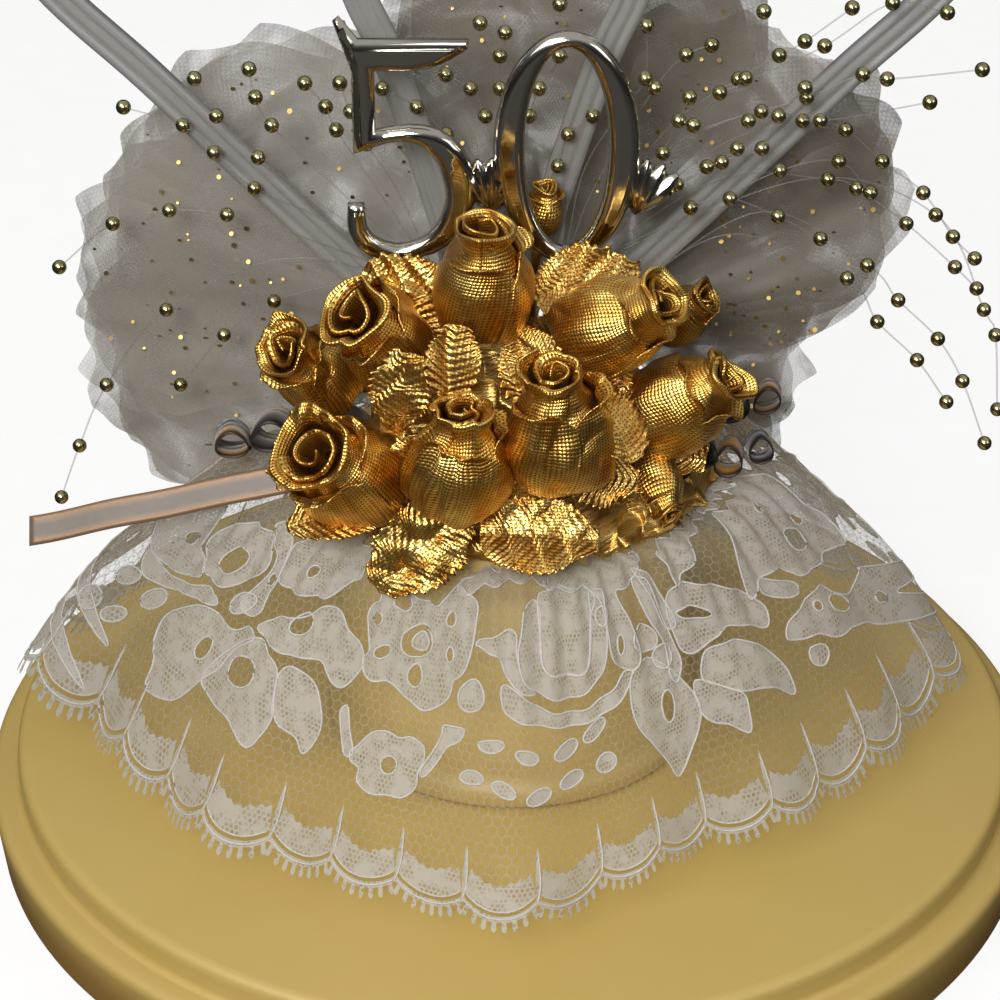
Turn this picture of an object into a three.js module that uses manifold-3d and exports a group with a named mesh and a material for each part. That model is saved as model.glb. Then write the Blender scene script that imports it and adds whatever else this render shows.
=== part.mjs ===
// A golden wedding anniversary cake topper, in millimetres, +Z up, origin at the centre of the foot.
// A two-tier moulded base carries a cup on a column. Foam in the cup holds wired lamé rosebuds and
// crimped leaves. Behind them stand the plated figure 50, a clear fluted heart, sprays of beads on
// filament and puffs of tulle. A lace skirt hangs from the cup, and a gold-edged bow lies over it.
import * as THREE from "three";
import { mergeVertices } from "three/addons/utils/BufferGeometryUtils.js";
import Module from "manifold-3d";

const wasm = await Module();
wasm.setup();

// What the whole piece shares.
const fitGap = 0.3;
const cutOverrun = 1;
const sliverSize = 0.05;
const fullTurn = 2 * Math.PI;

// Base: a hollow ribbed moulding with a collar on a raised disc, a ledge and a rounded shoulder.
const baseRadius = 59.2;
const baseHeight = 11;
const baseWall = 1.8;
const discRadius = 56;
const discEdgeRound = 1.3;
const ledgeHeight = 7.4;
const coveSize = 0.5;
const shoulderRound = 2.2;
const wallDraft = 0.7;
const collarHeight = 3;
const ribCount = 6;
const ribThickness = 1.4;
const ribDepth = 4;

// Column: a shell over the base's collar, with a foot moulding, a tapered drum and a cup for the foam.
const columnWall = 1.8;
const columnFootRadius = 21;
const columnFootHeight = 1.6;
const columnRadius = 20;
const neckRadius = 18.6;
const cupRadius = 20;
const cupHeight = 7;
const cupWall = 2;
const cupDepth = 4.5;
const columnRise = 32;

// Foam block: an oval in the cup with a dome on it, set towards the front. Shares of the cup's bore.
const foamWidthShare = 0.833;
const foamDepthShare = 0.567;
const foamForwardShare = 0.356;
const foamShoulderRise = 4;
const foamDomeHeight = 14;
const foamAimRise = 4;
const foamSides = 16;

// Lace skirt: gathered under the cup's rim, with a scalloped hem over the disc.
const laceThickness = 0.5;
const laceTopDrop = 1.5;
const laceHemRadius = 46;
const laceHemLift = 2;
const laceFoldDepth = 1.2;
const laceFoldCount = 16;
const lacePuffHeight = 3;

// Figure 50: one plated moulding on a pick.
const figureHeight = 24.2;
const figureThickness = 1.2;
const figureBevel = 0.45;
const figureBevelInset = 0.3;
const figureForward = 4;
const figureRise = 8;
const pickRadius = 0.9;

// Heart: one clear fluted rod bent into two lobes that meet at a foot in the cup.
const heartRodWidth = 3.4;
const heartRodDepth = 2.4;
const heartLeft = 1.9;
const heartSpan = 57;
const heartRise = 92;
const heartFootWidth = 9;
const heartFootDepth = 2.8;
const heartFootHeight = 12;

// Rosebuds and leaves of gold lamé on wire.
const budRadius = 5;
const budLength = 13;
const wireRadius = 0.55;
const wireDepth = 4;
const leafLength = 11;
const leafWidth = 7.4;
const leafThickness = 0.42;
const leafPleatDepth = 0.35;

// Beads on clear filament.
const beadRadius = 1.15;
const filamentRadius = 0.3;
const sprayReach = 50;
const sprayGap = 0.15;
const sprayLaneCount = 3;

// Tulle puffs.
const tulleThickness = 0.5;
const tulleReach = 46;
const tulleFoldDepth = 0.9;
const tulleTieRadius = 1.5;
const tulleTieRise = 9;

// Bow of gold-edged ribbon.
const ribbonWidth = 3.2;
const ribbonThickness = 0.45;
const bowLoopHeight = 4.4;
const bowLoopLength = 17;
const bowTailLength = 37;

// Sizes that follow from those above.
const laceTopRadius = cupRadius + fitGap + laceThickness / 2;
const laceHemHeight = baseHeight + laceHemLift;
const cupRimHeight = baseHeight + columnRise;
const laceTopHeight = cupRimHeight - laceTopDrop;
const tulleApexHeight = cupRimHeight + tulleTieRise;
const columnSeat = baseHeight + fitGap;
const columnBore = columnRadius - columnWall;
const collarRadius = columnBore - fitGap;
const cupFloor = cupRimHeight - cupDepth;
const cupBore = cupRadius - cupWall;
const foamFoot = cupFloor + fitGap;
const foamHalfWidth = foamWidthShare * cupBore;
const foamHalfDepth = foamDepthShare * cupBore;
const foamForward = foamForwardShare * cupBore;
const foamShoulderHeight = cupRimHeight + foamShoulderRise;
const foamCentre = new THREE.Vector3(0, -foamForward, foamShoulderHeight + foamAimRise);
const figureFootHeight = foamShoulderHeight + foamDomeHeight + figureRise;
const sprayPitch = 2 * beadRadius + sprayGap;
const sprayFront = figureForward - figureThickness / 2 - figureBevel - sprayGap - beadRadius;
const sprayBack = (sprayLaneCount - 1) * sprayPitch - sprayFront + beadRadius;
const heartBack = sprayBack + fitGap + heartRodDepth / 2;

const vec = (x, y, z) => new THREE.Vector3(x, y, z);
const turns = (share) => share * fullTurn;

// Meshes and solids.

function facingOut(geometry) {
  const p = geometry.attributes.position;
  const index = geometry.index.array;
  const [a, b, c] = [vec(), vec(), vec()];
  let volume = 0;
  for (let i = 0; i < index.length; i += 3) {
    a.fromBufferAttribute(p, index[i]);
    b.fromBufferAttribute(p, index[i + 1]);
    c.fromBufferAttribute(p, index[i + 2]);
    volume += a.dot(b.cross(c));
  }
  if (volume < 0)
    for (let i = 0; i < index.length; i += 3) [index[i], index[i + 1]] = [index[i + 1], index[i]];
  return geometry;
}

function closed(geometry) {
  const bare = geometry.clone();
  for (const name of Object.keys(bare.attributes))
    if (name !== "position") bare.deleteAttribute(name);
  const mergeGap = 1e-4;
  return facingOut(mergeVertices(bare, mergeGap));
}

function solid(geometry) {
  const merged = closed(geometry);
  return new wasm.Manifold(
    new wasm.Mesh({
      numProp: 3,
      vertProperties: new Float32Array(merged.attributes.position.array),
      triVerts: new Uint32Array(merged.index.array),
    }),
  );
}

function geometryOf(manifold) {
  const made = manifold.simplify(sliverSize).getMesh();
  return new THREE.BufferGeometry()
    .setAttribute("position", new THREE.BufferAttribute(new Float32Array(made.vertProperties), 3))
    .setIndex(new THREE.BufferAttribute(new Uint32Array(made.triVerts), 1));
}

const joined = (...geometries) =>
  geometryOf(geometries.map(solid).reduce((all, next) => all.add(next)));

// A named mesh. Its geometry, made where it stands, is kept in the frame of its own foot and turn.
function piece(name, geometry, material, foot = vec(0, 0, 0), turn = new THREE.Quaternion()) {
  const mesh = new THREE.Mesh(closed(geometry), material());
  mesh.name = name;
  mesh.position.copy(foot);
  mesh.quaternion.copy(turn);
  mesh.updateMatrix();
  mesh.geometry.applyMatrix4(mesh.matrix.clone().invert());
  return mesh;
}

function family(name, ...members) {
  const group = new THREE.Group();
  group.name = name;
  return group.add(...members);
}

// A body skinned over rings of equal count, closed by a fan to the middle of each end ring.
function skinned(rings) {
  const sides = rings[0].length;
  const points = rings.flat();
  const middle = (ring) => ring.reduce((sum, p) => sum.add(p), vec(0, 0, 0)).divideScalar(sides);
  const first = points.length;
  points.push(middle(rings[0]), middle(rings.at(-1)));
  const index = [];
  for (let i = 0; i + 1 < rings.length; i++)
    for (let j = 0; j < sides; j++) {
      const [a, b] = [i * sides + j, i * sides + ((j + 1) % sides)];
      index.push(a, b, b + sides, a, b + sides, a + sides);
    }
  const lastRing = (rings.length - 1) * sides;
  for (let j = 0; j < sides; j++) {
    const k = (j + 1) % sides;
    index.push(first, k, j, first + 1, lastRing + j, lastRing + k);
  }
  const geometry = new THREE.BufferGeometry().setFromPoints(points);
  return geometry.setIndex(index);
}

// Cloth of one thickness over a grid of points. A wrapped grid joins its last column to its first.
function cloth(grid, thickness, wrapped = false) {
  const [rows, columns] = [grid.length, grid[0].length];
  const within = (j) => (wrapped ? (j + columns) % columns : Math.min(Math.max(j, 0), columns - 1));
  const at = (i, j) => grid[i][within(j)];
  const points = [];
  for (const side of [0.5, -0.5])
    for (let i = 0; i < rows; i++)
      for (let j = 0; j < columns; j++) {
        const along = at(Math.min(i + 1, rows - 1), j).clone().sub(at(Math.max(i - 1, 0), j));
        const across = at(i, j + 1).clone().sub(at(i, j - 1));
        const normal = across.cross(along).normalize();
        points.push(grid[i][j].clone().addScaledVector(normal, side * thickness));
      }
  const back = rows * columns;
  const index = [];
  const quad = (a, b, c, d) => index.push(a, b, c, a, c, d);
  const cells = wrapped ? columns : columns - 1;
  for (let j = 0; j < cells; j++) {
    const k = (j + 1) % columns;
    for (let i = 0; i + 1 < rows; i++) {
      const [a, b] = [i * columns + j, i * columns + k];
      const [c, d] = [b + columns, a + columns];
      quad(a, b, c, d);
      quad(back + d, back + c, back + b, back + a);
    }
    const last = (rows - 1) * columns;
    quad(back + j, back + k, k, j);
    quad(last + j, last + k, back + last + k, back + last + j);
  }
  if (!wrapped)
    for (let i = 0; i + 1 < rows; i++) {
      const [a, b] = [i * columns, (i + 1) * columns];
      const [c, d] = [a + columns - 1, b + columns - 1];
      quad(a, b, back + b, back + a);
      quad(d, c, back + c, back + d);
    }
  return new THREE.BufferGeometry().setFromPoints(points).setIndex(index);
}

function rod(from, to, radius, sides = 6) {
  const length = from.distanceTo(to);
  const made = new THREE.CylinderGeometry(radius, radius, length, sides);
  const along = to.clone().sub(from).normalize();
  const turn = new THREE.Quaternion().setFromUnitVectors(vec(0, 1, 0), along);
  return made.applyQuaternion(turn).translate(...from.clone().lerp(to, 0.5).toArray());
}

function revolved(profile, segments) {
  const points = profile.map(([r, z]) => new THREE.Vector2(r, z));
  return new THREE.LatheGeometry(points, segments).rotateX(Math.PI / 2);
}

// A quarter round in a profile, from its top to its side.
const roundedEdge = (r, z, radius, steps) =>
  Array.from({ length: steps + 1 }, (_, i) => {
    const angle = (Math.PI / 2) * (1 - i / steps);
    return [r + radius * Math.cos(angle), z + radius * Math.sin(angle)];
  });

// Turns a geometry made along +Z, facing +Y, to lie along a direction and face another.
function aimed(along, facing) {
  const z = along.clone().normalize();
  const x = facing.clone().cross(z).normalize();
  const y = z.clone().cross(x);
  return new THREE.Quaternion().setFromRotationMatrix(new THREE.Matrix4().makeBasis(x, y, z));
}

// Finishes.
const finish = (color, roughness, metalness = 0) =>
  new THREE.MeshStandardMaterial({ color, roughness, metalness });
const agedIvory = () => finish(0xd8bc6a, 0.5);
const cream = () => finish(0xe6d28f, 0.5);
const foamBrown = () => finish(0x6e4f28, 0.95);
const laceWhite = () => finish(0xe9e6e0, 0.85);
const plated = () => finish(0xe8dfc4, 0.1, 1);
function clearPlastic() {
  const made = finish(0xd9d9dc, 0.1);
  made.transparent = true;
  made.opacity = 0.35;
  return made;
}
const goldLame = () => finish(0xc8952c, 0.35, 0.8);
const goldBead = () => finish(0x9a8a4a, 0.2, 0.9);
const tulleGrey = () => finish(0xbdb8b0, 0.9);
const ribbonBlush = () => finish(0xc9b4a8, 0.5);

// Base and column.

function baseMoulding() {
  const foot = baseRadius - wallDraft;
  const underDisc = baseHeight - baseWall;
  const shell = revolved(
    [
      [0, baseHeight],
      [collarRadius - baseWall, baseHeight],
      [collarRadius - baseWall, baseHeight + collarHeight],
      [collarRadius, baseHeight + collarHeight],
      [collarRadius, baseHeight],
      ...roundedEdge(discRadius - discEdgeRound, baseHeight - discEdgeRound, discEdgeRound, 2),
      [discRadius, ledgeHeight + coveSize],
      [discRadius + coveSize, ledgeHeight],
      ...roundedEdge(baseRadius - shoulderRound, ledgeHeight - shoulderRound, shoulderRound, 2),
      [foot, 0],
      [foot - baseWall, 0],
      [baseRadius - baseWall, ledgeHeight - shoulderRound],
      [discRadius - baseWall, ledgeHeight - baseWall],
      [discRadius - baseWall, underDisc],
      [0, underDisc],
    ],
    36,
  );
  const inset = baseWall / 2;
  const ribs = Array.from({ length: ribCount / 2 }, (_, i) =>
    new THREE.BoxGeometry(2 * (discRadius - inset), ribThickness, ribDepth)
      .translate(0, 0, underDisc + inset - ribDepth / 2)
      .rotateZ(turns((i + 0.5) / ribCount)),
  );
  return joined(shell, ...ribs);
}

function columnMoulding() {
  const neckTop = cupRimHeight - cupHeight;
  return revolved(
    [
      [columnBore, columnSeat],
      [columnFootRadius, columnSeat],
      [columnFootRadius, columnSeat + columnFootHeight],
      [columnRadius, columnSeat + 2 * columnFootHeight],
      [neckRadius, neckTop],
      [cupRadius, cupFloor],
      [cupRadius, cupRimHeight],
      [cupRadius - cupWall, cupRimHeight],
      [cupRadius - cupWall, cupFloor],
      [0, cupFloor],
      [0, cupFloor - columnWall],
      [neckRadius - columnWall, cupFloor - columnWall],
      [neckRadius - columnWall, neckTop],
      [columnBore, columnSeat + collarHeight + fitGap],
      [columnBore, columnSeat],
    ],
    28,
  );
}

// A ring of the foam's oval, at a share of its size.
const foamRing = (share, z) =>
  Array.from({ length: foamSides }, (_, j) => {
    const angle = turns(j / foamSides);
    return vec(
      share * foamHalfWidth * Math.cos(angle),
      share * foamHalfDepth * Math.sin(angle) - foamForward,
      z,
    );
  });

function foamBlock(wires) {
  const domeSteps = 4;
  const rings = [foamRing(1, foamFoot)];
  for (let i = 0; i < domeSteps; i++) {
    const angle = (Math.PI / 2) * (i / domeSteps);
    rings.push(foamRing(Math.cos(angle), foamShoulderHeight + foamDomeHeight * Math.sin(angle)));
  }
  let block = solid(skinned(rings));
  for (const { from, to, radius } of wires) {
    const along = to.clone().sub(from).normalize();
    const past = to.clone().addScaledVector(along, fitGap);
    block = block.subtract(solid(rod(from, past, radius + fitGap, 4)));
  }
  return geometryOf(block);
}

// Where a straight line towards the foam's middle first meets the foam, from outside.
function foamSurface(from) {
  const steps = 400;
  for (let i = 0; i <= steps; i++) {
    const p = from.clone().lerp(foamCentre, i / steps);
    const rise = Math.max(0, p.z - foamShoulderHeight) / foamDomeHeight;
    const forward = (p.y + foamForward) / foamHalfDepth;
    const oval = (p.x / foamHalfWidth) ** 2 + forward ** 2 + rise ** 2;
    if (oval <= 1) return p;
  }
  return foamCentre.clone();
}

// A wire from the foot of a flower or leaf into the foam, with its hole noted for the foam.
const wires = [];
function wireInto(foot, radius = wireRadius) {
  const surface = foamSurface(foot);
  const inward = foamCentre.clone().sub(foot).normalize();
  const end = surface.clone().addScaledVector(inward, wireDepth);
  wires.push({ from: surface.clone().addScaledVector(inward, -cutOverrun), to: end, radius });
  return rod(foot, end, radius, 4);
}

// Rosebuds: a wrapped petal over a core. Shares of the radius and length, from foot to mouth.
const budProfileShares = [
  [0.25, 0],
  [0.78, 0.1],
  [1, 0.34],
  [0.88, 0.62],
  [0.52, 0.86],
  [0.54, 1],
  [0.28, 0.9],
];
const budSides = 9;
const petalStepShare = 0.12;
const petalTwistShare = 0.35;

function budBody(radius, length, grow = 0) {
  const rings = budProfileShares.map(([r, h]) =>
    Array.from({ length: budSides }, (_, j) => {
      const angle = turns(j / budSides);
      const wrap = (j / budSides + petalTwistShare * h) % 1;
      const reach = radius * r * (1 - petalStepShare * h * wrap) + grow;
      return vec(reach * Math.cos(angle), reach * Math.sin(angle), length * h + grow * (2 * h - 1));
    }),
  );
  return skinned(rings);
}

// Each rosebud: its middle as shares of the bouquet's half width, reach and rise, the way its mouth
// points, and its size as a share of a full bud.
const bouquetSpreadShares = { width: 4.2, forward: 4.8, rise: 5.6, sink: 0.6 };
const bouquetHalfWidth = bouquetSpreadShares.width * budRadius;
const bouquetForward = bouquetSpreadShares.forward * budRadius;
const bouquetRise = bouquetSpreadShares.rise * budRadius;
const bouquetFoot = foamShoulderHeight - bouquetSpreadShares.sink * budRadius;
const budShares = {
  rosebud_top: { at: [-0.15, 0.6, 0.98], aim: [0.02, -0.22, 0.97], size: 1 },
  rosebud_upper_left: { at: [-0.64, 0.65, 0.77], aim: [-0.45, -0.55, 0.7], size: 0.93 },
  rosebud_lower_left: { at: [-0.82, 0.88, 0.33], aim: [-0.42, -0.62, 0.66], size: 1.1 },
  rosebud_lower_centre: { at: [-0.26, 1, 0.44], aim: [0.1, -0.2, 0.97], size: 0.97 },
  rosebud_centre: { at: [0.2, 1, 0.56], aim: [-0.08, -0.15, 0.98], size: 1.04 },
  rosebud_upper_right: { at: [0.48, 0.65, 0.82], aim: [0.75, -0.35, 0.55], size: 0.97 },
  rosebud_right: { at: [0.82, 0.68, 0.52], aim: [0.68, -0.3, 0.67], size: 0.96 },
  rosebud_far_right: { at: [0.82, 0.28, 0.7], aim: [0.62, -0.4, 0.67], size: 0.62 },
  rosebud_far_left: { at: [-1, 0.42, 0.54], aim: [-0.45, -0.5, 0.74], size: 0.82 },
  rosebud_low_right: { at: [0.7, 0.85, 0.23], aim: [0.25, -0.8, -0.4], size: 0.5 },
  rosebud_behind_figure: { at: [0.14, -0.04, 1], aim: [0.1, -0.2, 0.97], size: 0.42 },
};
const bouquetPoint = ([x, y, z]) =>
  vec(x * bouquetHalfWidth, -y * bouquetForward, bouquetFoot + z * bouquetRise);

// The space that the rosebuds and leaves placed so far keep clear round themselves.
let keepClear = wasm.Manifold.union([]);

function rosebud(name, { at, aim, size }) {
  const along = vec(...aim).normalize();
  const [radius, length] = [size * budRadius, size * budLength];
  const foot = bouquetPoint(at).addScaledVector(along, -length / 2);
  const turn = aimed(along, vec(0, -1, 0));
  const placed = (geometry) => geometry.applyQuaternion(turn).translate(...foot.toArray());
  const heart = foot.clone().addScaledVector(along, radius / 2);
  const whole = joined(placed(budBody(radius, length)), wireInto(heart));
  const { to: wireEnd } = wires.at(-1);
  const sleeve = rod(heart, wireEnd, wireRadius + fitGap, 4);
  keepClear = keepClear.add(solid(placed(budBody(radius, length, fitGap)))).add(solid(sleeve));
  return piece(name, whole, goldLame, foot, turn);
}

// Leaves: crimped lamé, folded a little along the rib. Places are shares, as for the rosebuds.
const leafShares = {
  leaf_flap_right: {
    at: [0.32, 0.77, 0.59], aim: [0.55, -0.79, -0.26], face: [0.5, -0.8, 0.3], size: 0.86,
  },
  leaf_centre: { at: [-0.27, 0.79, 0.86], aim: [-0.12, -0.43, -0.9], face: [0, -1, 0.2], size: 0.7 },
  leaf_under_top: { at: [0, 0.66, 0.78], aim: [0.4, -0.5, -0.76], face: [0, -1, 0.3], size: 0.85 },
  leaf_inner_right: {
    at: [0.36, 0.64, 0.56], aim: [0.25, -0.15, -0.95], face: [0.1, -1, 0.2], size: 0.8,
  },
  leaf_left: { at: [-0.49, 0.85, 0.78], aim: [-0.24, -0.18, -0.95], face: [-0.2, -1, 0.2], size: 0.8 },
  leaf_inner_left: {
    at: [-0.48, 0.84, 0.46], aim: [0.06, -0.25, -0.95], face: [0, -1, 0.2], size: 0.8,
  },
  leaf_between: { at: [-0.02, 0.92, 0.4], aim: [0.02, -0.15, -0.98], face: [0, -1, 0.1], size: 0.75 },
  leaf_left_foot: {
    at: [-0.62, 0.79, 0.15], aim: [-0.91, -0.41, 0.06], face: [-0.1, -0.6, 0.8], size: 0.9,
  },
  leaf_front_left: {
    at: [-0.25, 0.88, 0.15], aim: [-0.74, -0.4, -0.5], face: [0.2, -0.8, 0.6], size: 1.08,
  },
  leaf_front_right: {
    at: [-0.16, 0.99, 0.12], aim: [0.97, -0.2, 0.1], face: [0, -0.7, 0.72], size: 1.08,
  },
  leaf_right_foot: {
    at: [0.53, 0.56, 0.31], aim: [0.91, -0.4, -0.07], face: [0.1, -0.85, 0.5], size: 0.8,
  },
  leaf_low_right: { at: [0.27, 0.81, 0.25], aim: [0.9, -0.33, 0.2], face: [0, -0.85, 0.5], size: 0.7 },
  leaf_left_side: {
    at: [-0.86, 0.52, 0.34], aim: [-0.75, -0.35, -0.5], face: [-0.3, -0.9, 0.3], size: 0.8,
  },
  leaf_top_left: {
    at: [-0.31, 0.44, 0.79], aim: [-0.92, 0.16, 0.36], face: [-0.2, -0.8, 0.55], size: 0.88,
  },
  leaf_top_right: { at: [0.09, 0.44, 0.83], aim: [0.97, 0.09, 0.24], face: [0.2, -0.8, 0.55], size: 1 },
  leaf_upper_left: {
    at: [-0.31, 0.54, 0.67], aim: [-0.79, 0.2, 0.59], face: [-0.1, -0.95, 0.3], size: 0.7,
  },
  leaf_upper_right: {
    at: [0.03, 0.46, 0.61], aim: [0.76, 0.08, 0.64], face: [0.1, -0.95, 0.3], size: 0.58,
  },
  leaf_mid_right: { at: [0.46, 0.67, 0.43], aim: [0.17, 0.27, 0.95], face: [0.1, -1, 0.2], size: 0.55 },
};
const leafRows = 3;
const leafColumns = 7;
const leafFoldShare = 0.22;
const leafCurlShare = 0.18;

function leafBody(length, width, thickness = leafThickness) {
  const grid = [];
  for (let i = 0; i <= leafRows; i++) {
    const u = i / leafRows;
    const half = (width / 2) * (0.18 + 0.82 * Math.sin(Math.PI * Math.min(0.97, 0.1 + 0.87 * u)));
    grid.push(
      Array.from({ length: leafColumns }, (_, j) => {
        const v = (2 * j) / (leafColumns - 1) - 1;
        const pleat = leafPleatDepth * Math.cos(Math.PI * j) * Math.sin(Math.PI * (0.08 + 0.84 * u));
        const rise = leafFoldShare * half * Math.abs(v) - leafCurlShare * length * u * u;
        return vec(v * half, rise + pleat, u * length);
      }),
    );
  }
  return cloth(grid, thickness);
}

const largest = (manifold) => manifold.decompose().reduce((a, b) => (b.volume() > a.volume() ? b : a));

// A leaf, cut back where it would run into what is already in the bouquet.
function leaf(name, { at, aim, face, size }) {
  const foot = bouquetPoint(at);
  const turn = aimed(vec(...aim), vec(...face));
  const placed = (thickness) =>
    leafBody(size * leafLength, size * leafWidth, thickness)
      .applyQuaternion(turn)
      .translate(...foot.toArray());
  const whole = solid(joined(placed(leafThickness), wireInto(foot)));
  const cut = geometryOf(largest(whole.subtract(keepClear).simplify(sliverSize)));
  keepClear = keepClear.add(solid(placed(leafThickness + 2 * fitGap)));
  return piece(name, cut, goldLame, foot, turn);
}

// Lace skirt: how far the hem reaches at even steps round, from +X anticlockwise.
const laceHemShares = [
  1.12, 1.02, 0.965, 0.9, 0.87, 0.91, 0.955, 0.91, 0.89, 0.955, 1, 1.085,
  1.23, 1.06, 1.01, 0.99, 0.935, 0.94, 0.99, 0.885, 0.83, 0.89, 0.945, 1.01,
];
const laceSideDropShare = 1.2;

function laceSkirt() {
  const rows = 5;
  const columns = 2 * laceHemShares.length;
  const hemShare = (j) => {
    const next = laceHemShares[Math.ceil(j / 2) % laceHemShares.length];
    return (laceHemShares[Math.floor(j / 2)] + next) / 2;
  };
  const grid = [];
  for (let i = 0; i <= rows; i++) {
    const t = i / rows;
    grid.push(
      Array.from({ length: columns }, (_, j) => {
        const angle = turns(j / columns);
        const hem = laceHemRadius * hemShare(j);
        const fold = laceFoldDepth * t * Math.cos(laceFoldCount * angle);
        const r = laceTopRadius + (hem - laceTopRadius) * t + fold / 2;
        const drop = t ** (1.2 + laceSideDropShare * Math.cos(angle) ** 2);
        const puff = lacePuffHeight * Math.sin(Math.PI * Math.min(1, 2.2 * t)) * (1 - t);
        const z = laceTopHeight + (laceHemHeight - laceTopHeight) * drop + puff + (fold * t) / 3;
        return vec(r * Math.cos(angle), r * Math.sin(angle), z);
      }),
    );
  }
  return cloth(grid, laceThickness, true);
}

// The figure 50. The edges of the five run clockwise from its flag, in shares of the figure's height
// from its lower left corner; an edge with more than two points is a smooth curve through them.
const fiveEdgeShares = [
  [[-0.04, 1], [-0.015, 1.02]],
  [[-0.015, 1.02], [0.06, 0.93]],
  [[0.06, 0.93], [0.51, 0.93]],
  [[0.51, 0.93], [0.51, 0.89]],
  [[0.51, 0.89], [0.4, 0.83], [0.28, 0.8], [0.125, 0.8]],
  [[0.125, 0.8], [0.125, 0.56]],
  [
    [0.125, 0.56], [0.27, 0.58], [0.4, 0.555], [0.5, 0.46],
    [0.54, 0.3], [0.49, 0.14], [0.37, 0.04], [0.2, 0],
  ],
  [[0.2, 0], [0.07, 0.03], [0, 0.13], [0, 0.25]],
  [[0, 0.25], [0.07, 0.25]],
  [[0.07, 0.25], [0.09, 0.13], [0.2, 0.075], [0.32, 0.11], [0.39, 0.2], [0.41, 0.3], [0.38, 0.42]],
  [[0.38, 0.42], [0.31, 0.49], [0.2, 0.51], [0.03, 0.46]],
  [[0.03, 0.46], [0.03, 0.8]],
];

function fiveShape() {
  const shape = new THREE.Shape();
  const scaled = fiveEdgeShares.map((edge) =>
    edge.map(([x, z]) => new THREE.Vector2(x * figureHeight, z * figureHeight)),
  );
  shape.moveTo(scaled[0][0].x, scaled[0][0].y);
  for (const [, ...rest] of scaled)
    if (rest.length > 1) shape.splineThru(rest);
    else shape.lineTo(rest[0].x, rest[0].y);
  shape.closePath();
  return shape;
}

const zeroCentreShares = [0.93, 0.48];
const zeroOuterShares = [0.3, 0.48];
const zeroInnerShares = [0.19, 0.415];

function zeroShape() {
  const scaled = (shares) => shares.map((share) => share * figureHeight);
  const [cx, cz] = scaled(zeroCentreShares);
  const shape = new THREE.Shape();
  shape.absellipse(cx, cz, ...scaled(zeroOuterShares), 0, fullTurn, false);
  const hole = new THREE.Path();
  hole.absellipse(cx, cz, ...scaled(zeroInnerShares), 0, fullTurn, true);
  shape.holes.push(hole);
  return shape;
}

// Sprigs of moulded leaves: one between the figures, one on the outside of the nought.
const sprigLeafLength = 5.4;
const sprigLeafWidth = 1.9;
const sprigShares = [
  { at: [0.6, 0.2], leaves: 5, spread: 0.5, lean: 0.02 },
  { at: [1.2, 0.2], leaves: 4, spread: 0.42, lean: 0.35 },
];

function sprigLeaf(x, z, angle) {
  const shape = new THREE.Shape();
  shape.moveTo(0, 0);
  shape.quadraticCurveTo(sprigLeafWidth, sprigLeafLength / 2, 0, sprigLeafLength);
  shape.quadraticCurveTo(-sprigLeafWidth, sprigLeafLength / 2, 0, 0);
  const made = new THREE.ExtrudeGeometry(shape, {
    depth: figureThickness / 2,
    bevelThickness: figureThickness / 2,
    bevelSize: sprigLeafWidth / 4,
    bevelOffset: -sprigLeafWidth / 4,
    bevelSegments: 1,
    curveSegments: 2,
  });
  return made.rotateZ(-angle).translate(x, z, figureThickness / 4);
}

function figureFifty() {
  const bevelled = {
    depth: figureThickness,
    bevelThickness: figureBevel,
    bevelSize: figureBevelInset,
    bevelOffset: -figureBevelInset,
    bevelSegments: 1,
    curveSegments: 1,
  };
  const zero = { ...bevelled, curveSegments: 10 };
  const leaves = sprigShares.flatMap(({ at: [x, z], leaves: count, spread, lean }) =>
    Array.from({ length: count }, (_, i) =>
      sprigLeaf(
        x * figureHeight,
        z * figureHeight,
        lean + spread * ((2 * i) / (count - 1) - 1),
      ),
    ),
  );
  const flat = joined(
    new THREE.ExtrudeGeometry(fiveShape(), bevelled),
    new THREE.ExtrudeGeometry(zeroShape(), zero),
    ...leaves,
  );
  const left = -0.7 * figureHeight;
  const back = -figureForward + figureThickness / 2;
  const upright = flat.rotateX(Math.PI / 2).translate(left, back, figureFootHeight);
  const pickTop = vec(left + sprigShares[0].at[0] * figureHeight, -figureForward, figureFootHeight);
  pickTop.z += sprigShares[0].at[1] * figureHeight + pickRadius;
  return joined(upright, wireInto(pickTop, pickRadius));
}

// Heart: one lobe's line as shares of the span and rise, from the foot out, round and back down.
const heartLobeShares = [
  [0.02, 0],
  [0.16, 0.1],
  [0.385, 0.245],
  [0.62, 0.4],
  [0.8, 0.515],
  [0.93, 0.65],
  [0.97, 0.79],
  [0.89, 0.92],
  [0.72, 0.985],
  [0.54, 0.95],
  [0.42, 0.83],
  [0.33, 0.68],
  [0.25, 0.51],
  [0.19, 0.42],
  [0.1, 0.24],
  [0.03, 0.06],
];
const heartFootTop = cupFloor + fitGap + heartFootHeight;
const fluteShares = [
  [-0.5, -0.3],
  [-0.32, -0.5],
  [-0.12, -0.36],
  [0.12, -0.36],
  [0.32, -0.5],
  [0.5, -0.3],
  [0.4, 0.5],
  [-0.4, 0.5],
];

function heartLobe(side) {
  const line = new THREE.CatmullRomCurve3(
    heartLobeShares.map(([x, z]) => vec(
      side * x * heartSpan - heartLeft,
      heartBack,
      heartFootTop - heartRodWidth + z * heartRise,
    )),
  );
  const steps = 26;
  const rings = [];
  for (let i = 0; i <= steps; i++) {
    const p = line.getPointAt(i / steps);
    const across = line.getTangentAt(i / steps).cross(vec(0, 1, 0)).normalize();
    rings.push(
      fluteShares.map(([a, b]) =>
        p.clone().addScaledVector(across, a * heartRodWidth).add(vec(0, b * heartRodDepth, 0)),
      ),
    );
  }
  return skinned(rings);
}

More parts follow.
